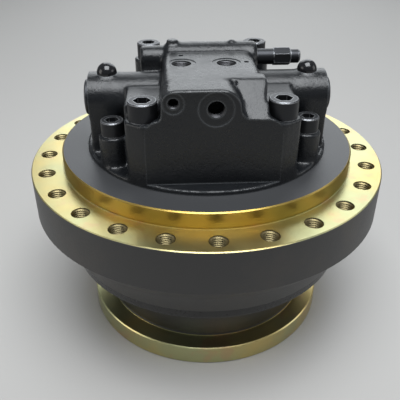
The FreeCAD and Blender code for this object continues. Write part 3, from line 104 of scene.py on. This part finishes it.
def length(label, default, note):
    """A length property in metres."""
    return FloatProperty(name=label, description=note, default=default, min=0.0,
                         precision=5, unit="LENGTH")


def colour(label, default, note):
    """A linear colour property."""
    return FloatVectorProperty(name=label, description=note, default=default, size=3,
                               min=0.0, max=1.0, subtype="COLOR")


class FinalDriveSizes(bpy.types.PropertyGroup):
    """Sizes of the surface detail."""

    cast_voxel: length("Casting voxel", 0.0021, "Grid that the valve casting is rebuilt on")
    cast_passes: IntProperty(name="Casting fillet passes", default=9, min=0, max=60,
                             description="Smoothing passes that round the cast corners")
    frame_pitch: length("Frame thread pitch", 0.003, "Pitch of the frame flange's threads")
    sprocket_pitch: length("Sprocket thread pitch", 0.0025,
                           "Pitch of the sprocket flange's threads")
    port_pitch: length("Port thread pitch", 0.0023, "Pitch of the oil ports' threads")


class FinalDriveColours(bpy.types.PropertyGroup):
    """Colours of the finishes."""

    black_paint: colour("Black paint", (0.0065, 0.0073, 0.0085), "Satin paint on the castings")
    drum_paint: colour("Drum paint", (0.017, 0.0165, 0.016), "Paint on the drum's side")
    # painted sheen: the top ring's paint is a lighter grey than the drum paint, standing in
    # for sky light reflected by its upward face
    disc_paint_with_sheen: colour("Disc paint", (0.03, 0.031, 0.033), "Paint on the top ring")
    zinc_gold: colour("Yellow zinc", (0.66, 0.53, 0.22), "Plating on the machined flanges")
    zinc_green: colour("Zinc, green tint", (0.5, 0.5, 0.27), "Thin areas of the plating")
    zinc_rose: colour("Zinc, rose tint", (0.6, 0.4, 0.24), "Thick areas of the plating")
    black_oxide: colour("Black oxide", (0.03, 0.031, 0.034), "Screws and plugs")
    steel: colour("Ground steel", (0.5, 0.5, 0.51), "Gears, pins and bearings")
    bronze: colour("Bronze", (0.55, 0.34, 0.14), "Shoes and port plate")
    # painted shade: the spigot's upright side is a deeper, darker gold than the same plating
    # on the flange face
    zinc_shaded_side: colour("Zinc, deep gold", (0.42, 0.27, 0.04), "Plating on the spigot's side")
    dark_steel: colour("Dark steel", (0.2, 0.2, 0.21), "Springs, washers and brake plates")
    polished: colour("Polished steel", (0.62, 0.62, 0.64), "Pins, needles and pistons")
    iron: colour("Machined iron", (0.27, 0.27, 0.28), "Carriers and rotor block")
    lining: colour("Friction lining", (0.09, 0.065, 0.045), "Brake discs")
    rubber: colour("Rubber", (0.012, 0.012, 0.012), "Shaft seal")
    dome: colour("Dome black", (0.008, 0.008, 0.009), "Glossy plugs on the relief arms")
    # painted shade: the port threads are a dark steel, darkened because the bores lie in shade
    shaded_port_thread: colour("Port thread", (0.09, 0.09, 0.095), "Flanks of the oil ports")
    thread: colour("Thread", (0.2, 0.165, 0.085), "Flanks of the tapped holes")
    floor: colour("Floor", (0.36, 0.352, 0.34), "Studio floor")


class Value:
    """A shader value that takes Python's arithmetic."""

    def __init__(self, finish, socket):
        self.finish = finish
        self.socket = socket

    def math(self, operation, *others):
        """One maths node, with this value first."""
        return self.finish.node("ShaderNodeMath", {"operation": operation},
                                {index: value for index, value in enumerate((self, *others))})

    def __add__(self, other):
        return self.math("ADD", other)

    __radd__ = __add__

    def __mul__(self, other):
        return self.math("MULTIPLY", other)

    __rmul__ = __mul__

    def __rsub__(self, other):
        return self.finish.node("ShaderNodeMath", {"operation": "SUBTRACT"},
                                {0: other, 1: self})

    def __pow__(self, other):
        return self.math("POWER", other)

    def above(self, edge, soft):
        """0 below the edge and 1 above it, over a soft width."""
        return self.finish.node("ShaderNodeMapRange", {"interpolation_type": "SMOOTHSTEP"},
                                {"Value": self, "From Min": edge - soft,
                                 "From Max": edge + soft})


class Finish:
    """A procedural material and the nodes that make it."""

    def __init__(self, name):
        self.material = bpy.data.materials.new(name)
        self.material.use_nodes = True
        self.tree = self.material.node_tree
        self.tree.nodes.clear()
        self.place = self.node("ShaderNodeTexCoord", out="Object")

    def node(self, kind, settings=None, values=None, out=0):
        """Add a node, set it up, and return one of its outputs."""
        item = self.tree.nodes.new(kind)
        for key, value in (settings or {}).items():
            setattr(item, key, value)
        for key, value in (values or {}).items():
            if isinstance(value, Value):
                self.tree.links.new(value.socket, item.inputs[key])
            elif value is not None:
                item.inputs[key].default_value = value
        return Value(self, item.outputs[out])

    def noise(self, scale, detail=4.0, roughness=0.55):
        """Noise in object space."""
        return self.node("ShaderNodeTexNoise", {"noise_dimensions": "3D"},
                         {"Vector": self.place, "Scale": scale, "Detail": detail,
                          "Roughness": roughness}, "Fac")

    def axes(self):
        """Object-space x, y and z."""
        split = self.tree.nodes.new("ShaderNodeSeparateXYZ")
        self.tree.links.new(self.place.socket, split.inputs[0])
        return [Value(self, split.outputs[index]) for index in range(3)]

    def radius(self):
        """Distance from the drive's axis."""
        x, y, _ = self.axes()
        return (x * x + y * y) ** 0.5

    def blend(self, mask, first, second):
        """Mix two colours."""
        item = self.tree.nodes.new("ShaderNodeMix")
        item.data_type = "RGBA"
        self.tree.links.new(mask.socket, item.inputs["Factor"])
        for socket, value in ((item.inputs[6], first), (item.inputs[7], second)):
            if isinstance(value, Value):
                self.tree.links.new(value.socket, socket)
            else:
                socket.default_value = (*value, 1.0)
        return Value(self, item.outputs[2])

    def mix(self, mask, first, second):
        """Mix two numbers."""
        return mask * second + (1 - mask) * first

    def bump(self, height, distance, strength=1.0, under=None):
        """A bump from a height between 0 and 1 that stands for a distance in metres."""
        return self.node("ShaderNodeBump", None,
                         {"Height": height, "Distance": distance, "Strength": strength,
                          "Normal": under}, "Normal")

    def edge_wear_and_highlight(self, soft=0.004):
        """1 on sharp outer edges and 0 elsewhere, from the surface's bend."""
        bevelled = self.node("ShaderNodeBevel", {"samples": 4}, {"Radius": soft}, "Normal")
        plain = self.node("ShaderNodeNewGeometry", None, None, "Normal")
        return self.node("ShaderNodeVectorMath", {"operation": "DISTANCE"},
                         {0: bevelled, 1: plain}, "Value")

    def surface(self, **values):
        """The closing shader. Numbers and colours go onto its own sockets."""
        named = {key.replace("_", " ").title().replace("Ior", "IOR"): value
                 for key, value in values.items()}
        if "Base Color" in named and not isinstance(named["Base Color"], Value):
            named["Base Color"] = (*named["Base Color"], 1.0)
        shader = self.node("ShaderNodeBsdfPrincipled", None, named, "BSDF")
        output = self.tree.nodes.new("ShaderNodeOutputMaterial")
        self.tree.links.new(shader.socket, output.inputs["Surface"])
        return self.material


def cast_paint(name, paint, grain=0.0005, gloss=0.24):
    """Satin black paint over a sand-cast surface, with a painted highlight on its sharp edges.
    """
    finish = Finish(name)
    lumps = finish.noise(38.0, 2.0)
    pits = finish.noise(300.0, 3.0, 0.6)
    dust = finish.noise(16.0, 5.0, 0.6).above(0.62, 0.14)
    shade = finish.blend(dust * 0.2, paint, tuple(min(1.0, part * 2.2 + 0.006)
                                                   for part in paint))
    # painted highlight: sharp edges of the casting turn a lighter grey, standing in for light
    # caught on the edges
    rim = finish.edge_wear_and_highlight(0.003).above(0.3, 0.2)
    shade = finish.blend(rim * 0.6, shade, (0.09, 0.095, 0.1))
    normal = finish.bump(pits, grain, 0.8, finish.bump(lumps, grain * 3.0, 0.5))
    return finish.surface(base_color=shade, roughness=gloss + 0.1 * dust + 0.08 * pits,
                          ior=1.42, normal=normal)


def zinc_look(finish, colours):
    """Base colour and roughness of yellow zinc plating, with its rainbow patches."""
    cloud = finish.noise(7.0, 3.0, 0.6)
    patch = finish.noise(19.0, 4.0, 0.65)
    gold = finish.blend(cloud.above(0.5, 0.12), tuple(colours.zinc_green),
                        tuple(colours.zinc_gold))
    gold = finish.blend(patch.above(0.6, 0.07) * 0.55, gold, tuple(colours.zinc_rose))
    smear = finish.noise(60.0, 5.0, 0.7)
    return gold, 0.24 + 0.16 * smear


def plated_casting(name, colours, paint, levels):
    """Black paint with yellow zinc on the machined faces that levels picks out."""
    finish = Finish(name)
    gold, gold_rough = zinc_look(finish, colours)
    plated, top, wall = levels(finish)
    # painted shade: the spigot's side is blended towards the darker gold
    if wall is not None:
        gold = finish.blend(wall * 0.75, gold, tuple(colours.zinc_shaded_side))
    pits = finish.noise(360.0, 3.0, 0.6)
    lumps = finish.noise(22.0, 3.0)
    rust = finish.noise(9.0, 5.0, 0.62).above(0.6, 0.1)
    paint_shade = finish.blend(rust * 0.35, tuple(paint), (0.045, 0.035, 0.026))
    # painted sheen: the upward top ring gets the lighter grey of the disc colour
    if top is not None:
        paint_shade = finish.blend(top, paint_shade, tuple(colours.disc_paint_with_sheen))
    rings = (finish.radius() * 5200.0).math("SINE") * 0.5 + 0.5
    cast = (1 - plated) * (pits * 0.5 + lumps * 0.5)
    height = cast + plated * rings * 0.06
    return finish.surface(
        base_color=finish.blend(plated, paint_shade, gold), metallic=plated,
        roughness=finish.mix(plated, 0.4 + 0.12 * pits, gold_rough), ior=1.55,
        normal=finish.bump(height, 0.0004, 0.5))


def frame_levels(finish):
    """Flange face and spigot are plated; the spigot's top ring keeps the black paint, made a
    lighter grey as a painted sheen on its upward face.
    """
    _, _, z = finish.axes()
    top = z.above(CASE_TOP - 0.0004, 0.0002) * (1 - finish.radius().above(PILOT - 0.0018,
                                                                        0.0002))
    # the third mask is the spigot's side, which plated_casting darkens to a deeper gold as
    # painted shade
    return (z.above(FACE - 0.0011, 0.0003) * (1 - top), top,
            z.above(FACE + 0.0008, 0.0004))


def hub_levels(finish):
    """Only the sprocket flange at the foot is plated."""
    _, _, z = finish.axes()
    return 1 - z.above(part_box("output_hub")[0].z + 0.0305, 0.0004), None, None


def machined(name, shade, rough=0.28, scratches=900.0, metallic=1.0):
    """Ground or turned metal with fine marks."""
    finish = Finish(name)
    marks = finish.noise(scratches, 2.0, 0.5)
    oil = finish.noise(24.0, 4.0, 0.6)
    tint = finish.blend(oil.above(0.55, 0.15) * 0.3, tuple(shade),
                        tuple(part * 0.6 for part in shade))
    return finish.surface(base_color=tint, metallic=metallic,
                          roughness=rough + 0.12 * oil,
                          normal=finish.bump(marks, 0.00005, 0.35))


def oxide(name, shade):
    """Black oxide on steel, rubbed to a lighter rim on the edges."""
    finish = Finish(name)
    oil = finish.noise(70.0, 4.0, 0.6)
    rim = finish.edge_wear_and_highlight(0.0018).above(0.25, 0.2)
    tint = finish.blend(rim * 0.8, tuple(shade), (0.42, 0.43, 0.45))
    return finish.surface(base_color=tint, metallic=0.85, roughness=0.34 + 0.14 * oil,
                          normal=finish.bump(oil, 0.00006, 0.3))


def moulded(name, shade, rough):
    """Plain moulded plastic or rubber with a fine grain."""
    finish = Finish(name)
    grain = finish.noise(700.0, 2.0)
    return finish.surface(base_color=tuple(shade), roughness=rough + 0.06 * grain,
                          normal=finish.bump(grain, 0.00004, 0.3))


def paint_node(name, material):
    """Give a CAD node its finish."""
    slots = frame["nodes"][name].data.materials
    slots.clear()
    slots.append(material)


def new_piece(name, bm, material, body):
    """Turn a bmesh into a piece that rides on a body."""
    mesh = bpy.data.meshes.new(name)
    bm.to_mesh(mesh)
    bm.free()
    mesh.materials.append(material)
    piece = bpy.data.objects.new(name, mesh)
    bpy.context.scene.collection.objects.link(piece)
    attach(piece, body)
    return piece


def add_rod(bm, radius, start, end, segments=64):
    """A closed cylinder between two points."""
    start, end = Vector(start), Vector(end)
    axis = end - start
    turn = axis.to_track_quat("Z", "Y").to_matrix().to_4x4()
    bmesh.ops.create_cone(bm, cap_ends=True, segments=segments, radius1=radius,
                          radius2=radius, depth=axis.length,
                          matrix=Matrix.Translation((start + end) / 2) @ turn)


def screw_spots(kind):
    """Places of the cover screws of one kind, from the CAD node's box."""
    low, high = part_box(kind + "_cover_screws")
    head = SCREW_HEADS[kind]
    for side in (low.x + head, high.x - head):
        for end in (low.y + head, high.y - head):
            yield side, end


def cover_holes():
    """Narrow holes of the cover: (radius, start, end), each ending where it opens."""
    rods = []
    for kind, (hole, _, seat) in SCREW_SEATS.items():
        for x, y in screw_spots(kind):
            rods.append((hole, (x, y, CASE_TOP - CUT_DEPTH), (x, y, CASE_TOP + seat)))
    for name in PORTS:
        mouth, out = port_mouth(name)
        dims = MOUNTS[name]["dims"]
        rods.append((dims["r_mm"] / 1000,
                     mouth - out * (dims["length_mm"] / 1000 + FACE_DEPTH), mouth))
    for x, y in PILOT_HOLES:
        rods.append((PILOT_HOLE, (x, y, CROWN - CUT_DEPTH), (x, y, CROWN)))
    for side in (-1, 1):
        rods.append((ARM_BORE, (side * (ARM_REACH - ARM_BORE_DEPTH), ARM_Y, ARM_Z),
                     (side * ARM_REACH, ARM_Y, ARM_Z)))
        rods.append((DOME_SEAT, (side * DOME_X, ARM_Y, ARM_Z + 0.031),
                     (side * DOME_X, ARM_Y, ARM_Z + 0.034)))
    rods.append((SPOOL_BORE, (SPOOL_X - SPOOL_REACH, SPOOL_Y, SPOOL_Z),
                 (BAR_END, SPOOL_Y, SPOOL_Z)))
    rods.append((SHAFT_POCKET, (0, 0, CASE_TOP - CUT_DEPTH), (0, 0, CASE_TOP + 0.0063)))
    return rods


def cover_faces():
    """Wide machined faces of the cover: (radius, start, end) of what is cut away."""
    rods = []
    for kind, (_, spot, seat) in SCREW_SEATS.items():
        for x, y in screw_spots(kind):
            rods.append((spot, (x, y, CASE_TOP + seat), (x, y, CASE_TOP + seat + 0.09)))
    for name, radius in PORTS.items():
        mouth, out = port_mouth(name)
        rods.append((radius, mouth - out * FACE_DEPTH, mouth + out * 0.006))
    rods.append((0.034, (0, 0, CASE_TOP), (0, 0, CASE_TOP + 0.0303)))
    return rods


def cover_ends():
    """Flat ends of the casting: its foot and the two arm collars."""
    rods = [(0.25, (0, 0, CASE_TOP - 0.03), (0, 0, CASE_TOP))]
    for side in (-1, 1):
        rods.append((0.05, (side * ARM_REACH, ARM_Y, ARM_Z - 0.01),
                     (side * 0.18, ARM_Y, ARM_Z - 0.01)))
    return rods


def port_mouth(name):
    """Where a port opens on the casting, and which way it faces."""
    mouth, out = Vector(MOUNTS[name]["pos_m"]), Vector(MOUNTS[name]["axis"])
    if out.z > 0.5:
        mouth.z = CROWN
    else:
        mouth.y = FRONT
    return mouth, out


def cutter_object(name, rods, slabs=()):
    """An object made of separate rods and slabs, for cutting."""
    bm = bmesh.new()
    for rod in rods:
        add_rod(bm, *rod)
    for low, high in slabs:
        low, high = Vector(low), Vector(high)
        bmesh.ops.create_cube(bm, size=1.0, matrix=Matrix.Translation((low + high) / 2)
                              @ Matrix.Diagonal((*(high - low), 1.0)))
    mesh = bpy.data.meshes.new(name)
    bm.to_mesh(mesh)
    bm.free()
    item = bpy.data.objects.new(name, mesh)
    bpy.context.scene.collection.objects.link(item)
    return item


class FINALDRIVE_OT_cast_cover(bpy.types.Operator):
    """Rebuild the valve cover as a rounded casting with crisp machined holes"""

    bl_idname = "final_drive.cast_cover"
    bl_label = "Cast Valve Cover"

    def execute(self, context):
        sizes = context.scene.final_drive_sizes
        colours = context.scene.final_drive_colours
        body = bmesh.new()
        body.from_mesh(frame["nodes"]["valve_cover"].data)
        bmesh.ops.remove_doubles(body, verts=body.verts, dist=1e-5)
        for radius, start, end in cover_holes():
            add_rod(body, radius + 0.0004, start, end)
        disc = max(abs(corner.x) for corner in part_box("valve_cover"))
        add_rod(body, disc, (0, 0, CASE_TOP - 0.008), (0, 0, CASE_TOP + 0.003), 160)
        add_rod(body, 0.07, (0, 0, CASE_TOP - 0.008), (0, 0, CASE_TOP + 0.035))
        for side in (-1, 1):
            add_rod(body, 0.034, (side * 0.155, ARM_Y, ARM_Z), (side * 0.168, ARM_Y, ARM_Z))
        casting = new_piece("cast_valve_cover", body,
                            cast_paint("valve_black", tuple(colours.black_paint)),
                            "frame")
        remesh = casting.modifiers.new("Cast skin", "REMESH")
        remesh.mode = "VOXEL"
        remesh.voxel_size = sizes.cast_voxel
        smooth = casting.modifiers.new("Cast fillets", "SMOOTH")
        smooth.factor = 0.5
        smooth.iterations = sizes.cast_passes
        front = ((-0.11, FRONT - 0.03, CASE_TOP + 0.0061), (0.11, FRONT, CROWN + 0.02))
        cutters = [cutter_object("ends", cover_ends(), [front]),
                   cutter_object("faces", cover_faces()),
                   cutter_object("holes", cover_holes())]
        for cutter in cutters:
            machining = casting.modifiers.new("Machined " + cutter.name, "BOOLEAN")
            machining.operation = "DIFFERENCE"
            machining.object = cutter
            machining.solver = "EXACT"
        context.view_layer.update()
        ready = casting.evaluated_get(context.evaluated_depsgraph_get())
        finished = bpy.data.meshes.new_from_object(ready)
        casting.modifiers.clear()
        casting.data = finished
        for cutter in cutters:
            bpy.data.objects.remove(cutter)
        finished.shade_smooth()
        finished.set_sharp_from_angle(angle=math.radians(38))
        for polygon in finished.polygons:
            polygon.use_smooth = polygon.area < 10 * sizes.cast_voxel ** 2
        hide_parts("valve_cover")
        if len(finished.polygons) < 1000:
            raise RuntimeError("the valve casting came out empty")
        return {"FINISHED"}


def add_thread(bm, radius, pitch, depth, mouth, out, turns, steps=28):
    """A helical ridge inside a hole, from its mouth inwards."""
    profile = [(radius, 0.0), (radius - depth, pitch * 0.5), (radius, pitch)]
    turn = Vector(out).to_track_quat("Z", "Y").to_matrix().to_4x4()
    place = Matrix.Translation(Vector(mouth)) @ turn
    points = [bm.verts.new(place @ Vector((r, 0, -0.0012 - pitch * turns + z)))
              for r, z in profile]
    edges = [bm.edges.new(pair) for pair in zip(points, points[1:])]
    axis = Vector(out)
    bmesh.ops.spin(bm, geom=points + edges, cent=Vector(mouth), axis=axis,
                   dvec=axis * (pitch / steps), angle=2 * math.pi * (turns - 1),
                   steps=int(steps * (turns - 1)))


class FINALDRIVE_OT_threads(bpy.types.Operator):
    """Cut the helical threads into the tapped holes and the oil ports"""

    bl_idname = "final_drive.threads"
    bl_label = "Threads"

    def execute(self, context):
        sizes = context.scene.final_drive_sizes
        colours = context.scene.final_drive_colours
        flanks = machined("thread_zinc", colours.thread, 0.36)
        for name, body, mount, pitch, turns, slot in (
                ("frame_threads", "frame", "frame_bolts", sizes.frame_pitch, 8, "drum_paint"),
                ("sprocket_threads", "output", "sprocket_bolts", sizes.sprocket_pitch, 7,
                 "hub_paint")):
            facts = MOUNTS[mount]
            bm = bmesh.new()
            for index in range(facts["dims"]["count"]):
                angle = 2 * math.pi * index / facts["dims"]["count"]
                reach = facts["dims"]["pcd_mm"] / 2000
                mouth = (reach * math.cos(angle), reach * math.sin(angle), facts["pos_m"][2])
                add_thread(bm, facts["dims"]["hole_r_mm"] / 1000, pitch, pitch * 0.5, mouth,
                           facts["axis"], turns)
            new_piece(name, bm, flanks, body)
        bm = bmesh.new()
        for name in PORTS:
            mouth, out = port_mouth(name)
            add_thread(bm, MOUNTS[name]["dims"]["r_mm"] / 1000, sizes.port_pitch * 0.8,
                       sizes.port_pitch * 0.35, mouth - out * FACE_DEPTH, out, 7)
        # painted shade: the port threads take the darkened steel of the shaded bores
        new_piece("port_threads", bm, machined("thread_steel", colours.shaded_port_thread, 0.45),
                  "frame")
        return {"FINISHED"}


class FINALDRIVE_OT_finishes(bpy.types.Operator):
    """Give every CAD node its procedural finish"""

    bl_idname = "final_drive.finishes"
    bl_label = "Finishes"

    def execute(self, context):
        colours = context.scene.final_drive_colours
        steel = machined("ground_steel", colours.steel)
        dark_steel = machined("dark_steel", colours.dark_steel, 0.38)
        polished = machined("polished_steel", colours.polished, 0.16)
        iron = machined("machined_iron", colours.iron, 0.42, 500.0)
        black = oxide("black_oxide", colours.black_oxide)
        bronze = machined("bronze", colours.bronze, 0.3)
        lining = moulded("friction_lining", colours.lining, 0.75)
        rubber = moulded("seal_rubber", colours.rubber, 0.6)
        gloss = moulded("dome_gloss", colours.dome, 0.12)
        zinc = Finish("plate_zinc")
        gold, rough = zinc_look(zinc, colours)
        zinc = zinc.surface(base_color=gold, metallic=1.0, roughness=rough)
        drum = cast_paint("case_black", tuple(colours.drum_paint))
        groups = (
            (plated_casting("drum_and_flange", colours, colours.drum_paint, frame_levels),
             ("frame_housing",)),
            (plated_casting("hub_and_flange", colours, colours.drum_paint, hub_levels),
             ("output_hub",)),
            (drum, ("seal_carrier", "motor_case", "valve_cover")),
            (black, ("large_cover_screws", "small_cover_screws", "seal_carrier_screws",
                     "carrier_2_screws", "spool_plug", "relief_cartridges")),
            (gloss, ("dome_plugs",)),
            (zinc, ("cover_plate", "cover_plugs")),
            (steel, ("ring_gear", "sun_gear_1", "sun_gear_2", "planet_1_a", "planet_1_b",
                     "planet_1_c", "planet_2_a", "planet_2_b", "planet_2_c", "planet_2_d",
                     "main_bearing_outer_rings", "main_bearing_inner_rings",
                     "main_bearing_rollers", "shaft_bearing_outer_rings",
                     "shaft_bearing_inner_rings", "shaft_bearing_rollers", "bearing_nut")),
            (polished, ("planet_1_pins", "planet_2_pins", "planet_1_needles",
                        "planet_2_needles", "motor_shaft", "piston_set",
                        "counterbalance_spool", "relief_poppet_left",
                        "relief_poppet_right", "thrust_button")),
            (dark_steel, ("planet_1_washers", "planet_2_washers", "cover_snap_ring",
                          "spool_springs", "brake_spring", "brake_plates",
                          "shoe_retainer", "main_bearing_cages")),
            (iron, ("carrier_1", "carrier_2", "cylinder_block", "swash_plate",
                    "brake_piston", "fixed_seal_ring", "turning_seal_ring")),
            (bronze, ("piston_shoes", "valve_plate")),
            (lining, ("brake_discs",)),
            (rubber, ("shaft_seal_ring",)),
        )
        dressed = set()
        for material, names in groups:
            for name in names:
                paint_node(name, material)
                dressed.add(name)
        bare = sorted(set(frame["nodes"]) - dressed)
        if bare:
            raise RuntimeError("nodes without a finish: %s" % ", ".join(bare))
        return {"FINISHED"}


class FINALDRIVE_OT_stage(bpy.types.Operator):
    """Set the floor, the lights and the camera"""

    bl_idname = "final_drive.stage"
    bl_label = "Stage"

    def execute(self, context):
        colours = context.scene.final_drive_colours
        scene = context.scene
        bm = bmesh.new()
        bmesh.ops.create_grid(bm, x_segments=2, y_segments=2, size=40.0)
        mesh = bpy.data.meshes.new("floor")
        bm.to_mesh(mesh)
        bm.free()
        finish = Finish("floor_plain")
        mesh.materials.append(finish.surface(base_color=tuple(colours.floor),
                                             roughness=0.75))
        floor = bpy.data.objects.new("floor", mesh)
        floor.location.z = CAD_BOX[0].z - 0.0005
        scene.collection.objects.link(floor)
        for name, place, size, power, tint in (
                ("sky_back", (0.3, 2.6, 1.9), 2.8, 52.0, (0.93, 0.97, 1.0)),
                ("sky_front", (0.1, -0.8, 2.7), 2.0, 118.0, (0.94, 0.97, 1.0)),
                ("side_left", (-2.6, -0.7, 1.0), 1.6, 16.0, (1.0, 0.97, 0.92)),
                ("side_right", (2.6, -0.4, 1.0), 1.4, 9.0, (1.0, 1.0, 1.0))):
            data = bpy.data.lights.new(name, "AREA")
            data.shape = "SQUARE"
            data.size = size
            data.energy = power
            data.color = tint
            lamp = bpy.data.objects.new(name, data)
            lamp.location = place
            aim = Vector((0, 0, 0.3)) - Vector(place)
            lamp.rotation_euler = aim.to_track_quat("-Z", "Y").to_euler()
            scene.collection.objects.link(lamp)
        world = bpy.data.worlds.new("studio")
        world.use_nodes = True
        world.node_tree.nodes["Background"].inputs[0].default_value = (0.8, 0.84, 0.88, 1.0)
        world.node_tree.nodes["Background"].inputs[1].default_value = 0.22
        scene.world = world
        scene.view_settings.view_transform = "Standard"
        lens = bpy.data.cameras.new("camera")
        lens.sensor_width = 36.0
        lens.lens = 533.613 / 400 * 36.0
        lens.clip_start = 0.01
        lens.clip_end = 50.0
        camera = bpy.data.objects.new("camera", lens)
        camera.location = (-0.04753, -0.7306, 0.61387)
        right = Vector((0.998629, -0.052344, -0.000103))
        up = Vector((0.027364, 0.520369, 0.853503))
        back = Vector((-0.044622, -0.852336, 0.521088))
        camera.rotation_euler = Matrix((right, up, back)).transposed().to_euler()
        scene.collection.objects.link(camera)
        scene.camera = camera
        return {"FINISHED"}


class FINALDRIVE_PT_panel(bpy.types.Panel):
    """Lists the steps that dress the final drive"""

    bl_idname = "FINALDRIVE_PT_panel"
    bl_label = "Final Drive"
    bl_space_type = "VIEW_3D"
    bl_region_type = "UI"
    bl_category = "Final Drive"

    def draw(self, context):
        for operator in OPERATORS:
            self.layout.operator(operator.bl_idname)
        for group in (context.scene.final_drive_sizes, context.scene.final_drive_colours):
            box = self.layout.box()
            for name in group.__annotations__:
                box.prop(group, name)


OPERATORS = (FINALDRIVE_OT_finishes, FINALDRIVE_OT_cast_cover, FINALDRIVE_OT_threads,
             FINALDRIVE_OT_stage)
CLASSES = (FinalDriveSizes, FinalDriveColours, *OPERATORS, FINALDRIVE_PT_panel)


def register():
    for item in CLASSES:
        bpy.utils.register_class(item)
    bpy.types.Scene.final_drive_sizes = PointerProperty(type=FinalDriveSizes)
    bpy.types.Scene.final_drive_colours = PointerProperty(type=FinalDriveColours)


def unregister():
    del bpy.types.Scene.final_drive_colours
    del bpy.types.Scene.final_drive_sizes
    for item in reversed(CLASSES):
        bpy.utils.unregister_class(item)


def main():
    register()
    bpy.ops.final_drive.finishes()
    bpy.ops.final_drive.cast_cover()
    bpy.ops.final_drive.threads()
    bpy.ops.final_drive.stage()


if __name__ == "__main__":
    main()
